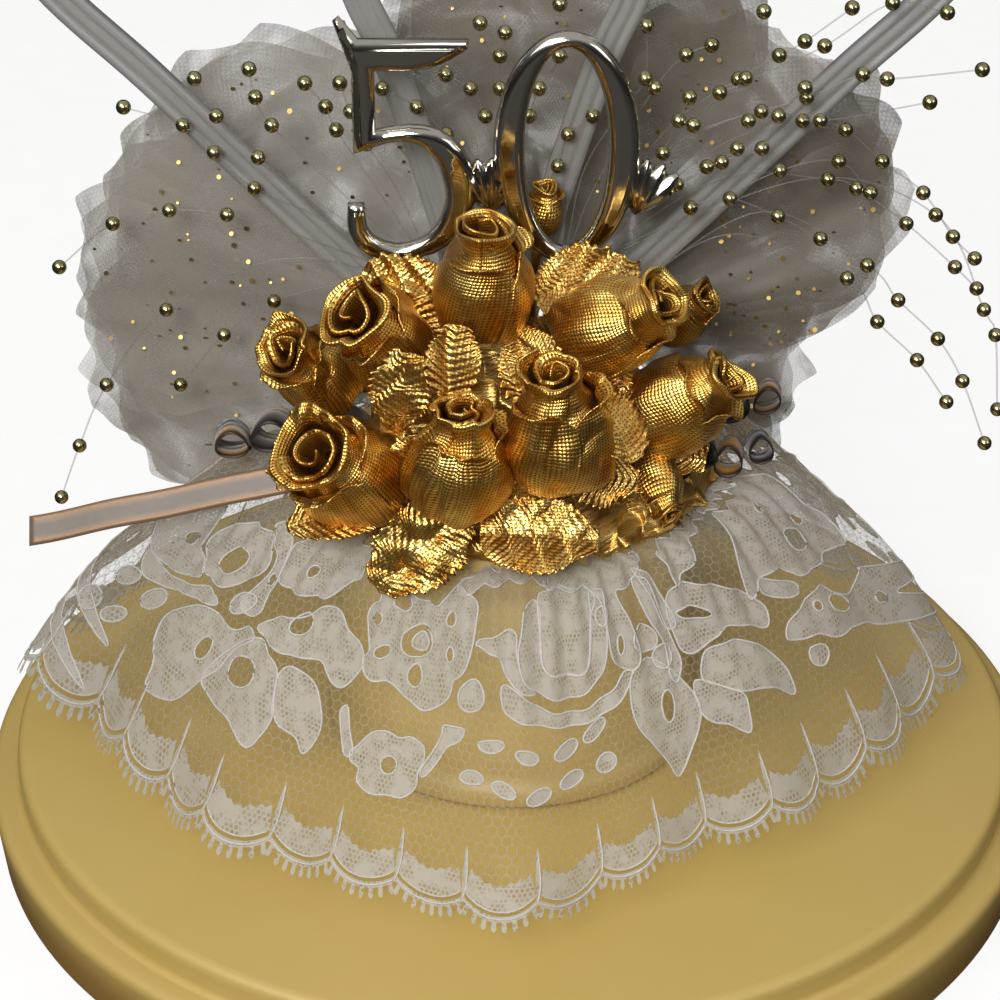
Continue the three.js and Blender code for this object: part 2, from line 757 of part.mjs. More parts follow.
function heartFrame() {
  const foot = new THREE.BoxGeometry(heartFootWidth, heartFootDepth, heartFootHeight);
  foot.translate(-heartLeft, heartBack, cupFloor + fitGap + heartFootHeight / 2);
  return joined(foot, heartLobe(-1), heartLobe(1));
}

// Bead sprays: each strand runs from its spray's root over the points under "over", then through its
// beads. Places are shares of the reach, right of the middle and above the bouquet's foot. A spray
// keeps to one lane, counted back from the front one.
const sprayShares = {
  bead_spray_right_drooping: {
    lane: 0,
    root: [0.21, 0.37],
    strands: [
      { over: [0.29, 0.5], beads: [[0.36, 0.58], [0.44, 0.6], [0.54, 0.56], [0.63, 0.51]] },
      {
        over: [0.5, 0.57],
        beads: [[0.73, 0.45], [0.8, 0.37], [0.89, 0.28], [0.95, 0.18], [1.01, 0.03]],
      },
      { over: [0.44, 0.52], beads: [[0.69, 0.42], [0.76, 0.32], [0.85, 0.23], [0.92, 0.13]] },
    ],
  },
  bead_spray_right: {
    lane: 2,
    root: [0.14, 0.4],
    strands: [
      { over: [0.42, 0.6], beads: [[0.65, 0.6], [0.71, 0.58], [0.82, 0.5], [0.93, 0.4], [0.98, 0.35]] },
      {
        over: [0.4, 0.66],
        beads: [[0.59, 0.73], [0.68, 0.71], [0.76, 0.64], [0.85, 0.57], [0.92, 0.47], [0.97, 0.42]],
      },
      { over: [0.6, 0.6], beads: [[0.88, 0.52], [1.0, 0.3], [1.03, 0.24], [1.05, 0.06]] },
      { over: [0.36, 0.52], beads: [[0.55, 0.62], [0.67, 0.64], [0.74, 0.57]] },
    ],
  },
  bead_spray_upper_right: {
    lane: 1,
    root: [0.1, 0.42],
    strands: [
      { over: [0.34, 0.7], beads: [[0.59, 0.8], [0.7, 0.85], [0.75, 0.84], [0.94, 0.86]] },
      { over: [0.3, 0.68], beads: [[0.5, 0.77], [0.62, 0.75], [0.84, 0.79]] },
      { over: [0.3, 0.72], beads: [[0.45, 0.84], [0.53, 0.89], [0.58, 0.92], [0.67, 0.99]] },
      { over: [0.4, 0.78], beads: [[0.62, 0.91], [0.75, 1.0], [0.86, 0.98]] },
    ],
  },
  bead_spray_middle_right: {
    lane: 0,
    root: [0.1, 0.44],
    strands: [
      { over: [0.24, 0.6], beads: [[0.36, 0.76], [0.41, 0.83], [0.46, 0.86], [0.49, 1.0]] },
      { over: [0.16, 0.62], beads: [[0.28, 0.84], [0.34, 0.91], [0.39, 0.93]] },
      { over: [0.14, 0.66], beads: [[0.22, 0.8], [0.26, 0.86], [0.26, 0.97]] },
      { over: [0.18, 0.54], beads: [[0.28, 0.64], [0.3, 0.7], [0.33, 0.77], [0.35, 0.82]] },
      { over: [0.22, 0.56], beads: [[0.33, 0.63], [0.39, 0.67], [0.45, 0.71], [0.47, 0.77]] },
      { over: [0.24, 0.57], beads: [[0.42, 0.68], [0.5, 0.71], [0.53, 0.78], [0.58, 0.84]] },
    ],
  },
  bead_spray_middle: {
    lane: 2,
    root: [-0.02, 0.44],
    strands: [
      { over: [-0.04, 0.64], beads: [[-0.06, 0.74], [-0.09, 0.8], [-0.14, 0.83], [-0.2, 0.88]] },
      { over: [-0.02, 0.66], beads: [[-0.03, 0.8], [-0.03, 0.87], [-0.02, 0.92], [-0.07, 0.94]] },
      { over: [0.02, 0.66], beads: [[0.03, 0.74], [0.05, 0.8], [0.09, 0.87], [0.09, 0.98]] },
      { over: [0.04, 0.56], beads: [[0.09, 0.63], [0.11, 0.7], [0.16, 0.74]] },
      { over: [-0.08, 0.62], beads: [[-0.14, 0.7], [-0.2, 0.76], [-0.27, 0.8]] },
    ],
  },
  bead_spray_upper_left: {
    lane: 0,
    root: [-0.16, 0.42],
    strands: [
      { over: [-0.34, 0.6], beads: [[-0.49, 0.76], [-0.52, 0.82], [-0.53, 0.88]] },
      { over: [-0.36, 0.56], beads: [[-0.52, 0.69], [-0.6, 0.78], [-0.64, 0.86]] },
      { over: [-0.28, 0.62], beads: [[-0.36, 0.75], [-0.38, 0.8], [-0.42, 0.85]] },
      { over: [-0.24, 0.62], beads: [[-0.3, 0.72], [-0.33, 0.79], [-0.35, 0.85]] },
    ],
  },
  bead_spray_left: {
    lane: 2,
    root: [-0.18, 0.36],
    strands: [
      { over: [-0.48, 0.42], beads: [[-0.74, 0.3], [-0.88, 0.12], [-0.95, -0.03], [-1.0, -0.16]] },
      { over: [-0.42, 0.46], beads: [[-0.6, 0.52], [-0.72, 0.53], [-0.84, 0.5], [-0.96, 0.4]] },
      { over: [-0.38, 0.5], beads: [[-0.54, 0.58], [-0.62, 0.66], [-0.68, 0.72], [-0.8, 0.76]] },
      { over: [-0.36, 0.36], beads: [[-0.51, 0.32], [-0.62, 0.24], [-0.72, 0.12]] },
    ],
  },
};

function strand(root, over, beads) {
  const line = new THREE.CatmullRomCurve3([root, over, ...beads]);
  const spans = beads.length + 1;
  const sides = 4;
  const rings = [];
  const ring = (t, offset, radius) => {
    const along = line.getTangent(t);
    const middle = line.getPoint(t).addScaledVector(along, offset);
    const turn = aimed(along, vec(0, -1, 0));
    rings.push(
      Array.from({ length: sides }, (_, j) => {
        const angle = turns(j / sides);
        const spoke = vec(radius * Math.cos(angle), radius * Math.sin(angle), 0);
        return spoke.applyQuaternion(turn).add(middle);
      }),
    );
  };
  for (const t of [0, 0.7, 1.3]) ring(t / spans, 0, filamentRadius);
  beads.forEach((bead, i) => {
    const t = (i + 2) / spans;
    ring(t, -beadRadius, filamentRadius);
    ring(t, -beadRadius / 2, beadRadius);
    ring(t, beadRadius / 2, beadRadius);
    ring(t, beadRadius, filamentRadius);
    const next = beads[i + 1];
    if (next && next.distanceTo(bead) > 6 * beadRadius) ring(t + 0.5 / spans, 0, filamentRadius);
  });
  return skinned(rings);
}

// The strands leave a crimped band side by side, the outermost on the right first.
function beadSpray({ lane, root, strands }) {
  const place = ([x, z]) =>
    vec(x * sprayReach, lane * sprayPitch - sprayFront, bouquetFoot + z * sprayReach);
  const middle = place(root);
  const slope = ({ over: [x, z] }) => Math.atan2(z - root[1], x - root[0]);
  const ordered = [...strands].sort((a, b) => slope(a) - slope(b));
  const pitch = 3 * filamentRadius;
  const band = new THREE.BoxGeometry(ordered.length * pitch, 2 * wireRadius, 2 * pitch);
  const made = ordered.map(({ over, beads }, i) => {
    const start = middle.clone().add(vec(pitch * ((ordered.length - 1) / 2 - i), 0, 0));
    return strand(start, place(over), beads.map(place));
  });
  return joined(band.translate(...middle.toArray()), wireInto(middle), ...made);
}

// Tulle: a fan of net from a tied foot, between two angles in turns, with soft folds. The foot is in
// shares of the cup's bore. The edge's reach is given at even steps from one side to the other.
const tulleShares = {
  tulle_left_top: {
    foot: [-0.117, 0.722],
    fan: [0.325, 0.46],
    lean: 0.06,
    edge: [0.72, 0.93, 1, 1, 0.97],
  },
  tulle_left_middle: {
    foot: [-0.303, 0.556],
    fan: [0.415, 0.525],
    lean: 0.05,
    edge: [0.9, 0.96, 0.96, 0.9, 0.86],
  },
  tulle_left_low: {
    foot: [-0.49, 0.694],
    fan: [0.485, 0.598],
    lean: 0.12,
    edge: [0.82, 0.88, 0.9, 0.88, 0.82],
  },
  tulle_centre: {
    foot: [0.093, 0.889],
    fan: [0.165, 0.31],
    lean: 0.05,
    edge: [0.95, 1.08, 1.14, 1.02, 0.75],
  },
  tulle_right_top: {
    foot: [0.257, 0.722],
    fan: [0.09, 0.2],
    lean: 0.06,
    edge: [0.96, 0.98, 0.92, 0.87, 0.84],
  },
  tulle_right_middle: {
    foot: [0.443, 0.556],
    fan: [0.02, 0.11],
    lean: 0.05,
    edge: [0.6, 0.72, 0.84, 0.86, 0.8],
  },
  tulle_right_low: {
    foot: [0.583, 0.694],
    fan: [-0.11, 0.045],
    lean: 0.12,
    edge: [0.6, 0.55, 0.52, 0.53, 0.62],
  },
};

function tullePuff({ foot: [x, back], fan: [from, to], lean, edge }) {
  const apex = vec(x * cupBore, back * cupBore, tulleApexHeight);
  const outline = new THREE.CatmullRomCurve3(edge.map((share, k) => vec(k, share * tulleReach, 0)));
  const [rows, columns] = [3, 11];
  const inner = tulleTieRadius / 2;
  const grid = [];
  for (let i = 0; i <= rows; i++) {
    const s = i / rows;
    grid.push(
      Array.from({ length: columns }, (_, j) => {
        const t = j / (columns - 1);
        const angle = turns(from + (to - from) * t);
        const corner = 1 - 0.12 * (2 * t - 1) ** 8;
        const r = inner + s * (outline.getPoint(t).y * corner - inner);
        const fold = tulleFoldDepth * s * Math.cos(turns(1.5 * t));
        return apex.clone().add(vec(r * Math.cos(angle), lean * r + fold, r * Math.sin(angle)));
      }),
    );
  }
  const tieFoot = vec(apex.x, apex.y, foamFoot);
  const tieTop = vec(apex.x, apex.y, apex.z + tulleTieRadius);
  return joined(cloth(grid, tulleThickness), rod(tieFoot, tieTop, tulleTieRadius, 6));
}

// Bow: loops and a tail of ribbon from the foam's sides, out over the lace. Each starts some way
// forward on the foam, in shares of its half depth, and above its shoulder, in ribbon widths.
const bowLoopSteps = 14;
const bowShares = {
  bow_loop_left_upper: { side: -1, forward: 0.588, lift: 0.75, rise: -0.02, reach: 1 },
  bow_loop_left_lower: { side: -1, forward: 0.147, lift: 0.0, rise: 0.02, reach: 1.05 },
  bow_loop_right_upper: { side: 1, forward: 0.392, lift: 1.125, rise: 0.2, reach: 0.8 },
  bow_loop_right_lower: { side: 1, forward: 0.833, lift: 0.5, rise: 0.02, reach: 0.7 },
};

// How far the foam reaches sideways over a ribbon's width, some way forward of the middle and up.
function foamSide(forward, height) {
  const rise = Math.max(0, height - foamShoulderHeight) / foamDomeHeight;
  const edges = [forward - ribbonWidth / 2, forward + ribbonWidth / 2];
  const shares = edges.map((edge) => 1 - rise ** 2 - ((edge - foamForward) / foamHalfDepth) ** 2);
  return foamHalfWidth * Math.sqrt(Math.max(0, ...shares));
}

const bowRoot = ({ forward, lift }) => [
  forward * foamHalfDepth,
  foamShoulderHeight + lift * ribbonWidth,
];

function bowLoop({ side, rise, reach, ...place }) {
  const length = reach * bowLoopLength;
  const [forward, height] = bowRoot(place);
  const root = foamSide(forward, height) + fitGap + ribbonThickness / 2;
  const start = vec(side * root, -forward, height);
  const grid = [0, 1].map((edge) =>
    Array.from({ length: bowLoopSteps }, (_, j) => {
      const angle = turns(j / bowLoopSteps);
      const out = (length / 2) * (1 - Math.cos(angle));
      const up = (bowLoopHeight / 2) * Math.sin(angle) * Math.sqrt(0.25 + (0.75 * out) / length);
      return start.clone().add(vec(side * out, (edge - 0.5) * ribbonWidth, up + rise * out));
    }),
  );
  return cloth(grid, ribbonThickness, true);
}

const bowTailShares = {
  bow_tail_left: { side: -1, forward: 0.882, lift: 0.125, drop: 0.235, reach: 0.98 },
};

const tailTiltShares = [0.5, 0.86];

function bowTail({ side, drop, reach, ...place }) {
  const length = reach * bowTailLength;
  const [forward, height] = bowRoot(place);
  const [across, upright] = tailTiltShares.map((share) => share * ribbonWidth);
  const steps = 6;
  const grid = [-0.5, 0.5].map((edge) =>
    Array.from({ length: steps + 1 }, (_, j) => {
      const out = (j / steps) * length;
      const x = side * (foamSide(forward, height) + fitGap + out);
      return vec(x, edge * across - forward, height - drop * out + edge * upright);
    }),
  );
  return cloth(grid, ribbonThickness);
}

// Assembly. The foam comes last, once every wire's hole is known.
const each = (table, make) => Object.entries(table).map(([name, shares]) => make(name, shares));
const ribbonPiece = (make) => (name, shares) => piece(name, make(shares), ribbonBlush);

const rosebuds = family("rosebuds", ...each(budShares, rosebud));
const leaves = family("leaves", ...each(leafShares, leaf));
const plating = piece("figure_50", figureFifty(), plated);
const fluted = piece("heart_frame", heartFrame(), clearPlastic);
const sprays = family(
  "bead_sprays",
  ...each(sprayShares, (name, shares) => piece(name, beadSpray(shares), goldBead)),
);
const puffs = family(
  "tulle",
  ...each(tulleShares, (name, shares) => piece(name, tullePuff(shares), tulleGrey)),
);
const bow = family(
  "bow",
  ...each(bowShares, ribbonPiece(bowLoop)),
  ...each(bowTailShares, ribbonPiece(bowTail)),
);
const foam = piece("foam_block", foamBlock(wires), foamBrown);
const stand = family(
  "stand",
  piece("base", baseMoulding(), agedIvory),
  piece("column", columnMoulding(), cream),
  piece("lace_skirt", laceSkirt(), laceWhite),
  foam,
);

export default new THREE.Group().add(stand, rosebuds, leaves, plating, fluted, sprays, puffs, bow);
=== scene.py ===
# %% [markdown]
# # A golden wedding cake topper, dressed for its picture
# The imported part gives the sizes: a moulded stand, a lace skirt, wired rosebuds and leaves of gold
# lamé, a plated figure 50, a clear heart, bead sprays, tulle and a bow. This notebook builds the
# visible surfaces around that fixed frame, one kind of thing per step. Everything is worked out in
# millimetres and turned to metres at the last moment, because a maker would measure it that way.

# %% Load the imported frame
import math

import bpy
import numpy as np
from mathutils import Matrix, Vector
from mathutils.geometry import delaunay_2d_cdt


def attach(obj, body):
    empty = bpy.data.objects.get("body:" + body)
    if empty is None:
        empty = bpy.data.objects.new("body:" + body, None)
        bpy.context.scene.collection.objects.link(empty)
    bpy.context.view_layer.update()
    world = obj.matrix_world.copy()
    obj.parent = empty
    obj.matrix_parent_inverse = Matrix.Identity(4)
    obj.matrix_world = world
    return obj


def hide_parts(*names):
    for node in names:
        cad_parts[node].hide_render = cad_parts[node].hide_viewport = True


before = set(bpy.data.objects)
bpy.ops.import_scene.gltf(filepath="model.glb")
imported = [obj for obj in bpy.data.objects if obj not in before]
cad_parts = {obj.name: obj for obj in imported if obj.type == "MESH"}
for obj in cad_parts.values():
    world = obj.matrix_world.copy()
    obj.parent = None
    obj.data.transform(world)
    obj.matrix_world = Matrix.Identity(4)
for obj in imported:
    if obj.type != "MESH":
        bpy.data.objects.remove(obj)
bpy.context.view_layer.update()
MM = 0.001
TURN = 2 * math.pi
print("packed nodes:", len(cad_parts))

# %% [markdown]
# ## The camera
# The picture was taken close to the object and from about thirty degrees above the table, so the
# hem looks wide and the heart runs out of the top. A camera placed at that distance gives the same
# perspective. A sensor of 36 mm and a square picture make the lens length easy to work out.

# %% Camera
CAMERA_AIM = Vector((-1.5, 0, 37.5))
CAMERA_ELEVATION = math.radians(30)
CAMERA_DISTANCE = 300
LENS_LENGTH = 98.8

camera = bpy.data.objects.new("camera", bpy.data.cameras.new("camera"))
camera.data.sensor_width = 36
camera.data.lens = LENS_LENGTH
camera.data.clip_start = 0.01
view_back = Vector((0, -math.cos(CAMERA_ELEVATION), math.sin(CAMERA_ELEVATION)))
camera.location = (CAMERA_AIM + CAMERA_DISTANCE * view_back) * MM
camera.rotation_mode = "QUATERNION"
camera.rotation_quaternion = view_back.to_track_quat("Z", "Y")
bpy.context.scene.collection.objects.link(camera)
bpy.context.scene.camera = camera
bpy.context.scene.view_settings.view_transform = "Standard"
print("camera at", [round(x / MM) for x in camera.location], "mm")

# %% [markdown]
# ## Helpers for shapes
# Most of the object is thin things: cloth, thread, petals. Each is a grid of points or a tube along
# a line, so two small helpers make the faces, and a third gathers several forms into one piece. The
# pieces keep a cloth map in millimetres, so that a weave has its real thread spacing wherever the
# cloth is bent.

# %% Grids, tubes and smooth lines
def grid_faces(rows, columns, wrapped=False):
    """The quads of a grid of points. Wrapped, its last column meets its first."""
    across = columns if wrapped else columns - 1
    i, j = np.meshgrid(np.arange(rows - 1), np.arange(across), indexing="ij")
    k = (j + 1) % columns
    low, high = i * columns, (i + 1) * columns
    return np.stack([low + j, low + k, high + k, high + j], -1).reshape(-1, 4)


def spline(a, b, c, d, f):
    """A smooth way from b to c by a share f, with a before them and d after."""
    bend = (2 * a - 5 * b + 4 * c - d) * f**2 + (3 * b - a - 3 * c + d) * f**3
    return 0.5 * (2 * b + (c - a) * f + bend)


def smooth_line(points, count, closed=False):
    """Points at even steps of a smooth curve through the given ones."""
    p = np.asarray(points, float)
    ends = (p[-1:], p[:2]) if closed else (2 * p[:1] - p[1:2], 2 * p[-1:] - p[-2:-1])
    p = np.concatenate([ends[0], p, ends[1]])
    spans = len(p) - 3
    s = np.linspace(0, spans, count, endpoint=not closed)
    i = np.minimum(s.astype(int), spans - 1)
    return spline(*(p[i + k] for k in range(4)), (s - i)[:, None])


def unit(v):
    return v / np.maximum(np.linalg.norm(v, axis=-1, keepdims=True), 1e-9)


TUBE_TIP = 0.05


def tube(line, radius, sides=6, closed=False):
    """Corners and quads of a tube along a line. Its ends close nearly to a point."""
    line = np.asarray(line, float)
    if closed:
        ahead, behind = np.roll(line, -1, 0), np.roll(line, 1, 0)
    else:
        ahead = np.concatenate([line[1:], 2 * line[-1:] - line[-2:-1]])
        behind = np.concatenate([2 * line[:1] - line[1:2], line[:-1]])
    along = unit(ahead - behind)
    helper = np.where(np.abs(along[:, 1:2]) < 0.8, [[0, 1, 0]], [[0, 0, 1]])
    side = unit(np.cross(along, helper))
    up = np.cross(side, along)
    reach = np.broadcast_to(np.asarray(radius, float), (len(line),)).copy()
    if not closed:
        reach[[0, -1]] *= TUBE_TIP
    turn = np.arange(sides) * TURN / sides
    spoke = np.cos(turn)[None, :, None] * side[:, None] + np.sin(turn)[None, :, None] * up[:, None]
    corners = line[:, None] + reach[:, None, None] * spoke
    quads = grid_faces(len(line) + closed, sides, wrapped=True)
    return corners.reshape(-1, 3), quads % (len(line) * sides)


# %% Gathering forms into one named piece
class Forms:
    """The corners, faces, cloth map and finishes of one piece, gathered form by form."""

    def __init__(self):
        self.corners, self.faces, self.cloth, self.finish = [], [], [], []
        self.count = 0

    def add(self, corners, faces, cloth=None, finish=0):
        corners = np.asarray(corners, float).reshape(-1, 3)
        cloth = np.zeros((len(corners), 2)) if cloth is None else np.asarray(cloth)
        self.corners.append(corners)
        self.cloth.append(cloth.reshape(-1, 2))
        self.faces += [[int(k) + self.count for k in face] for face in faces]
        self.finish += [finish] * len(faces)
        self.count += len(corners)
        return self


def make(name, forms, materials, stands_for=(), thickness=0):
    """Turns gathered forms in millimetres into a piece that rides on the part."""
    mesh = bpy.data.meshes.new(name)
    mesh.from_pydata((np.concatenate(forms.corners) * MM).tolist(), [], forms.faces)
    mesh.polygons.foreach_set("material_index", forms.finish)
    mesh.polygons.foreach_set("use_smooth", [True] * len(forms.faces))
    used = np.empty(len(mesh.loops), int)
    mesh.loops.foreach_get("vertex_index", used)
    cloth = np.concatenate(forms.cloth)[used].ravel()
    mesh.uv_layers.new(name="cloth").data.foreach_set("uv", cloth)
    for material in materials:
        mesh.materials.append(material)
    piece = bpy.data.objects.new(name, mesh)
    bpy.context.scene.collection.objects.link(piece)
    if thickness:
        sheet = piece.modifiers.new("thickness", "SOLIDIFY")
        sheet.thickness, sheet.offset = thickness * MM, 0
    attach(piece, "root")
    if stands_for:
        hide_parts(*stands_for)
    return piece


# %% [markdown]
# ## Helpers for finishes
# A material is a small graph of nodes. One function adds a node with its settings and its links, so
# each graph can be read from top to bottom. Colours are written as the sRGB values that a colour
# picker shows, and one function turns them to the linear values that light adds up in.

# %% Nodes and colours
def linear(colour):
    """The linear colour of an sRGB hex value."""
    parts = [(colour >> shift & 255) / 255 for shift in (16, 8, 0)]
    return (*((c / 12.92 if c <= 0.04045 else ((c + 0.055) / 1.055) ** 2.4) for c in parts), 1)


def node(tree, kind, inputs=None, **settings):
    """Adds a node. An input is given as a value or as the socket that feeds it."""
    made = tree.nodes.new("ShaderNode" + kind)
    for name, value in settings.items():
        setattr(made, name, value)
    for name, value in (inputs or {}).items():
        if isinstance(value, bpy.types.NodeSocket):
            tree.links.new(value, made.inputs[name])
        else:
            made.inputs[name].default_value = value
    return made


# %% Short names for the nodes that return most often
def position(tree):
    return node(tree, "NewGeometry").outputs["Position"]


def cloth_map(tree):
    return node(tree, "UVMap", uv_map="cloth").outputs["UV"]


def one_axis(tree, vector, axis):
    return node(tree, "SeparateXYZ", {"Vector": vector}).outputs[axis]


def maths(tree, operation, *values, **settings):
    """One sum on numbers or sockets."""
    return node(tree, "Math", dict(enumerate(values)), operation=operation, **settings).outputs[0]


def ramp(tree, value, low=0, high=1, start=0, end=1, **settings):
    """Start where a value is low, end where it is high, and in step between them."""
    inputs = {"Value": value, "From Min": low, "From Max": high, "To Min": start, "To Max": end}
    return node(tree, "MapRange", inputs, **settings).outputs["Result"]


def blend(tree, share, first, second):
    """A colour between two, each a hex value or a socket."""
    first, second = (linear(c) if isinstance(c, int) else c for c in (first, second))
    inputs = {"Factor": share, "A": first, "B": second}
    return node(tree, "Mix", inputs, data_type="RGBA").outputs["Result"]


def noise(tree, place, scale, detail, **more):
    """Soft patches, from 0 to 1."""
    inputs = {"Vector": place, "Scale": scale, "Detail": detail, **more}
    return node(tree, "TexNoise", inputs).outputs["Fac"]


def bump(tree, height, strength, distance, **more):
    """Fine relief. Its distance is in mm."""
    inputs = {"Height": height, "Strength": strength, "Distance": distance * MM, **more}
    return node(tree, "Bump", inputs).outputs["Normal"]


def skin(tree, **inputs):
    """A physical surface. The name of an input has _ for its spaces."""
    inputs = {name.replace("_", " "): value for name, value in inputs.items()}
    return node(tree, "BsdfPrincipled", inputs).outputs["BSDF"]


def layered(tree, share, first, second):
    """Two shaders, with a share of the second."""
    return node(tree, "MixShader", {0: share, 1: first, 2: second}).outputs[0]


def new_material(name):
    """An empty material and its tree."""
    material = bpy.data.materials.new(name)
    material.use_nodes = True
    material.node_tree.nodes.clear()
    return material, material.node_tree


def finished(material, shader):
    """The material, once its shader is at its output."""
    node(material.node_tree, "OutputMaterial", {"Surface": shader})
    return material


# %% [markdown]
# ## Floor and light
# A pale sheet of paper lies under the object, and the camera looks down on it, so the floor is the
# whole background. Seen directly it is nearly white and still takes the shadow; what polished metal
# mirrors of it is a dim table, as in a room at night. A broad softbox from the front left gives the
# soft shadow, and a small lamp near the camera gives the woven gold its sparkle.

# %% Floor
FLOOR_HALF_WIDTH = 3000
PAPER_GLOW = 0.86

paper, tree = new_material("studio_paper")
grain = node(tree, "TexNoise", {"Scale": 900, "Detail": 4}).outputs["Fac"]
tone = blend(tree, grain, 0xFCFBFA, 0xFFFFFF)
seen = node(tree, "LightPath").outputs["Is Camera Ray"]
lit = skin(tree, Base_Color=blend(tree, seen, 0x24211E, tone), Roughness=0.9)
white = node(tree, "Emission", {"Color": tone, "Strength": 1}).outputs["Emission"]
finished(paper, layered(tree, maths(tree, "MULTIPLY", seen, PAPER_GLOW), lit, white))

mesh = bpy.data.meshes.new("floor")
w = FLOOR_HALF_WIDTH * MM
mesh.from_pydata([(-w, -w, 0), (w, -w, 0), (w, w, 0), (-w, w, 0)], [], [(0, 1, 2, 3)])
mesh.materials.append(paper)
floor = bpy.data.objects.new("floor", mesh)
bpy.context.scene.collection.objects.link(floor)

# %% Lamps and world
# Each lamp: where it is (mm), its width (mm) and its power (W).
LAMPS = {
    "softbox": ((-420, -480, 680), 560, 3.0),
    "fill": ((560, -380, 420), 300, 0.7),
    "sparkle": ((-70, -400, 300), 110, 1.68),
}
for name, (place, width, power) in LAMPS.items():
    light = bpy.data.lights.new(name, "AREA")
    light.size, light.energy = width * MM, power
    lamp = bpy.data.objects.new(name, light)
    lamp.location = Vector(place) * MM
    lamp.rotation_euler = (lamp.location - CAMERA_AIM * MM).to_track_quat("Z", "Y").to_euler()
    bpy.context.scene.collection.objects.link(lamp)

world = bpy.data.worlds.new("studio")
bpy.context.scene.world = world
world.use_nodes = True
tree = world.node_tree
tree.nodes.clear()
sky = node(tree, "ValToRGB", {
    "Fac": one_axis(tree, node(tree, "TexCoord").outputs["Generated"], "Z"),
})
low, high = sky.color_ramp.elements
low.position, low.color = 0, linear(0x343438)
high.position, high.color = 0.75, linear(0xFFFFFF)
sky.color_ramp.elements.new(0.4).color = linear(0x77777C)
light = node(tree, "Background", {"Color": sky.outputs["Color"], "Strength": 0.52})
node(tree, "OutputWorld", {"Surface": light.outputs["Background"]})
print("lamps:", ", ".join(LAMPS))

# %% [markdown]
# ## The moulded stand
# The base and the column are injection moulded polystyrene that has yellowed with age. Plastic of
# this kind has an IOR of 1.59 and a satin skin from its mould. The finish blends two ivories with
# slow noise, deepens the colour low on the base's wall and at the column's foot as painted shade,
# a deeper and more orange ivory where less light falls, and adds a very fine bump so that the
# highlight isn't glassy.

# %% Aged ivory polystyrene, with painted shade low down
def aged_polystyrene_shaded_low(name, pale, deep, edge, low, high):
    """Yellowed polystyrene, with painted shade from an edge colour at a low height to its own at a
    high one, in mm.
    """
    material, tree = new_material(name)
    place = position(tree)
    cloud = noise(tree, place, 45, 3)
    # Painted shade: low down the colour sinks to the darker edge colour, where less light falls.
    share = ramp(
        tree, one_axis(tree, place, "Z"), low * MM, high * MM, interpolation_type="SMOOTHSTEP",
    )
    return finished(material, skin(
        tree, Base_Color=blend(tree, share, edge, blend(tree, cloud, pale, deep)), IOR=1.59,
        Roughness=ramp(tree, cloud, start=0.38, end=0.52),
        Normal=bump(tree, noise(tree, place, 2500, 2), 0.12, 0.05),
    ))


# Each third colour is painted shade: low on the base's wall, and at the column's foot under the
# lace.
aged_ivory_shaded_low = aged_polystyrene_shaded_low("ivory_polystyrene_aged_shaded_low", 0xB69C5C, 0xAC924A, 0x907036, 2.0, 8.5)
cream_ivory_shaded_low = aged_polystyrene_shaded_low("cream_polystyrene_shaded_low", 0xB69E62, 0xB09858, 0xA68E50, 11.0, 20.0)

# %% [markdown]
# The stand is turned: every section through its axis is the same. So its outline is drawn once as
# radius and height, its corners are rounded with a few points each, and it is swept round in fine
# steps. A lathe would cut the mould in the same way.

# %% Turned outlines
TURNED_STEPS = 180


def rounded(outline, radius, steps=5):
    """An open outline with its inner corners rounded. A radius may be given for each corner."""
    outline = np.asarray(outline, float)
    radii = np.broadcast_to(radius, (len(outline),))
    line = [outline[0]]
    for before, corner, after, r in zip(outline, outline[1:], outline[2:], radii[1:]):
        a, b = before - corner, after - corner
        reach = min(r, np.linalg.norm(a) / 2, np.linalg.norm(b) / 2)
        a, b = corner + unit(a) * reach, corner + unit(b) * reach
        for s in np.linspace(0, 1, steps):
            line.append((1 - s) ** 2 * a + 2 * s * (1 - s) * corner + s**2 * b)
    return np.array([*line, outline[-1]])


def turned(outline, steps=TURNED_STEPS):
    angle = np.arange(steps) * TURN / steps
    r, z = outline[:, :1], outline[:, 1:]
    rings = np.stack([r * np.cos(angle), r * np.sin(angle), np.repeat(z, steps, 1)], -1)
    return rings.reshape(-1, 3), grid_faces(len(outline), steps, wrapped=True)


# %% Base and column
BASE_OUTLINE = [
    (0.01, 11), (16.1, 11), (16.1, 14), (17.9, 14), (17.9, 11), (56, 11), (56, 7.9), (56.5, 7.4),
    (59.2, 7.4), (58.5, 0), (56.7, 0), (57.4, 5.2), (54.2, 5.6), (54.2, 9.2), (0.01, 9.2),
]
BASE_ROUNDING = [0, 0.2, 0.2, 0.2, 0.2, 1.3, 0.4, 0.3, 2.2, 0.3, 0.2, 0.4, 0.4, 0.4, 0]
RIB_COUNT, RIB_THICKNESS = 6, 1.4
RIB_REACH, RIB_FLAT, RIB_TOP, RIB_CORNER, RIB_FOOT = 54.6, 50, 9.6, 6.0, 5.6

base = Forms().add(*turned(rounded(BASE_OUTLINE, BASE_ROUNDING)))
for angle in np.arange(RIB_COUNT / 2) * TURN / RIB_COUNT + TURN / (2 * RIB_COUNT):
    along = np.array([math.cos(angle), math.sin(angle), 0])
    aside = np.array([-math.sin(angle), math.cos(angle), 0]) * RIB_THICKNESS / 2
    wall = np.array([
        (-RIB_REACH, RIB_TOP), (RIB_REACH, RIB_TOP), (RIB_REACH, RIB_CORNER), (RIB_FLAT, RIB_FOOT),
        (-RIB_FLAT, RIB_FOOT), (-RIB_REACH, RIB_CORNER),
    ])
    upright = wall[:, :1] * along + wall[:, 1:] * [0, 0, 1]
    for side in (-1, 1):
        base.add(upright + side * aside, [range(6)])
    edge = upright[:1:-1]
    base.add(np.concatenate([edge - aside, edge + aside]), grid_faces(2, 4))
make("moulded_base", base, [aged_ivory_shaded_low], ["base"])

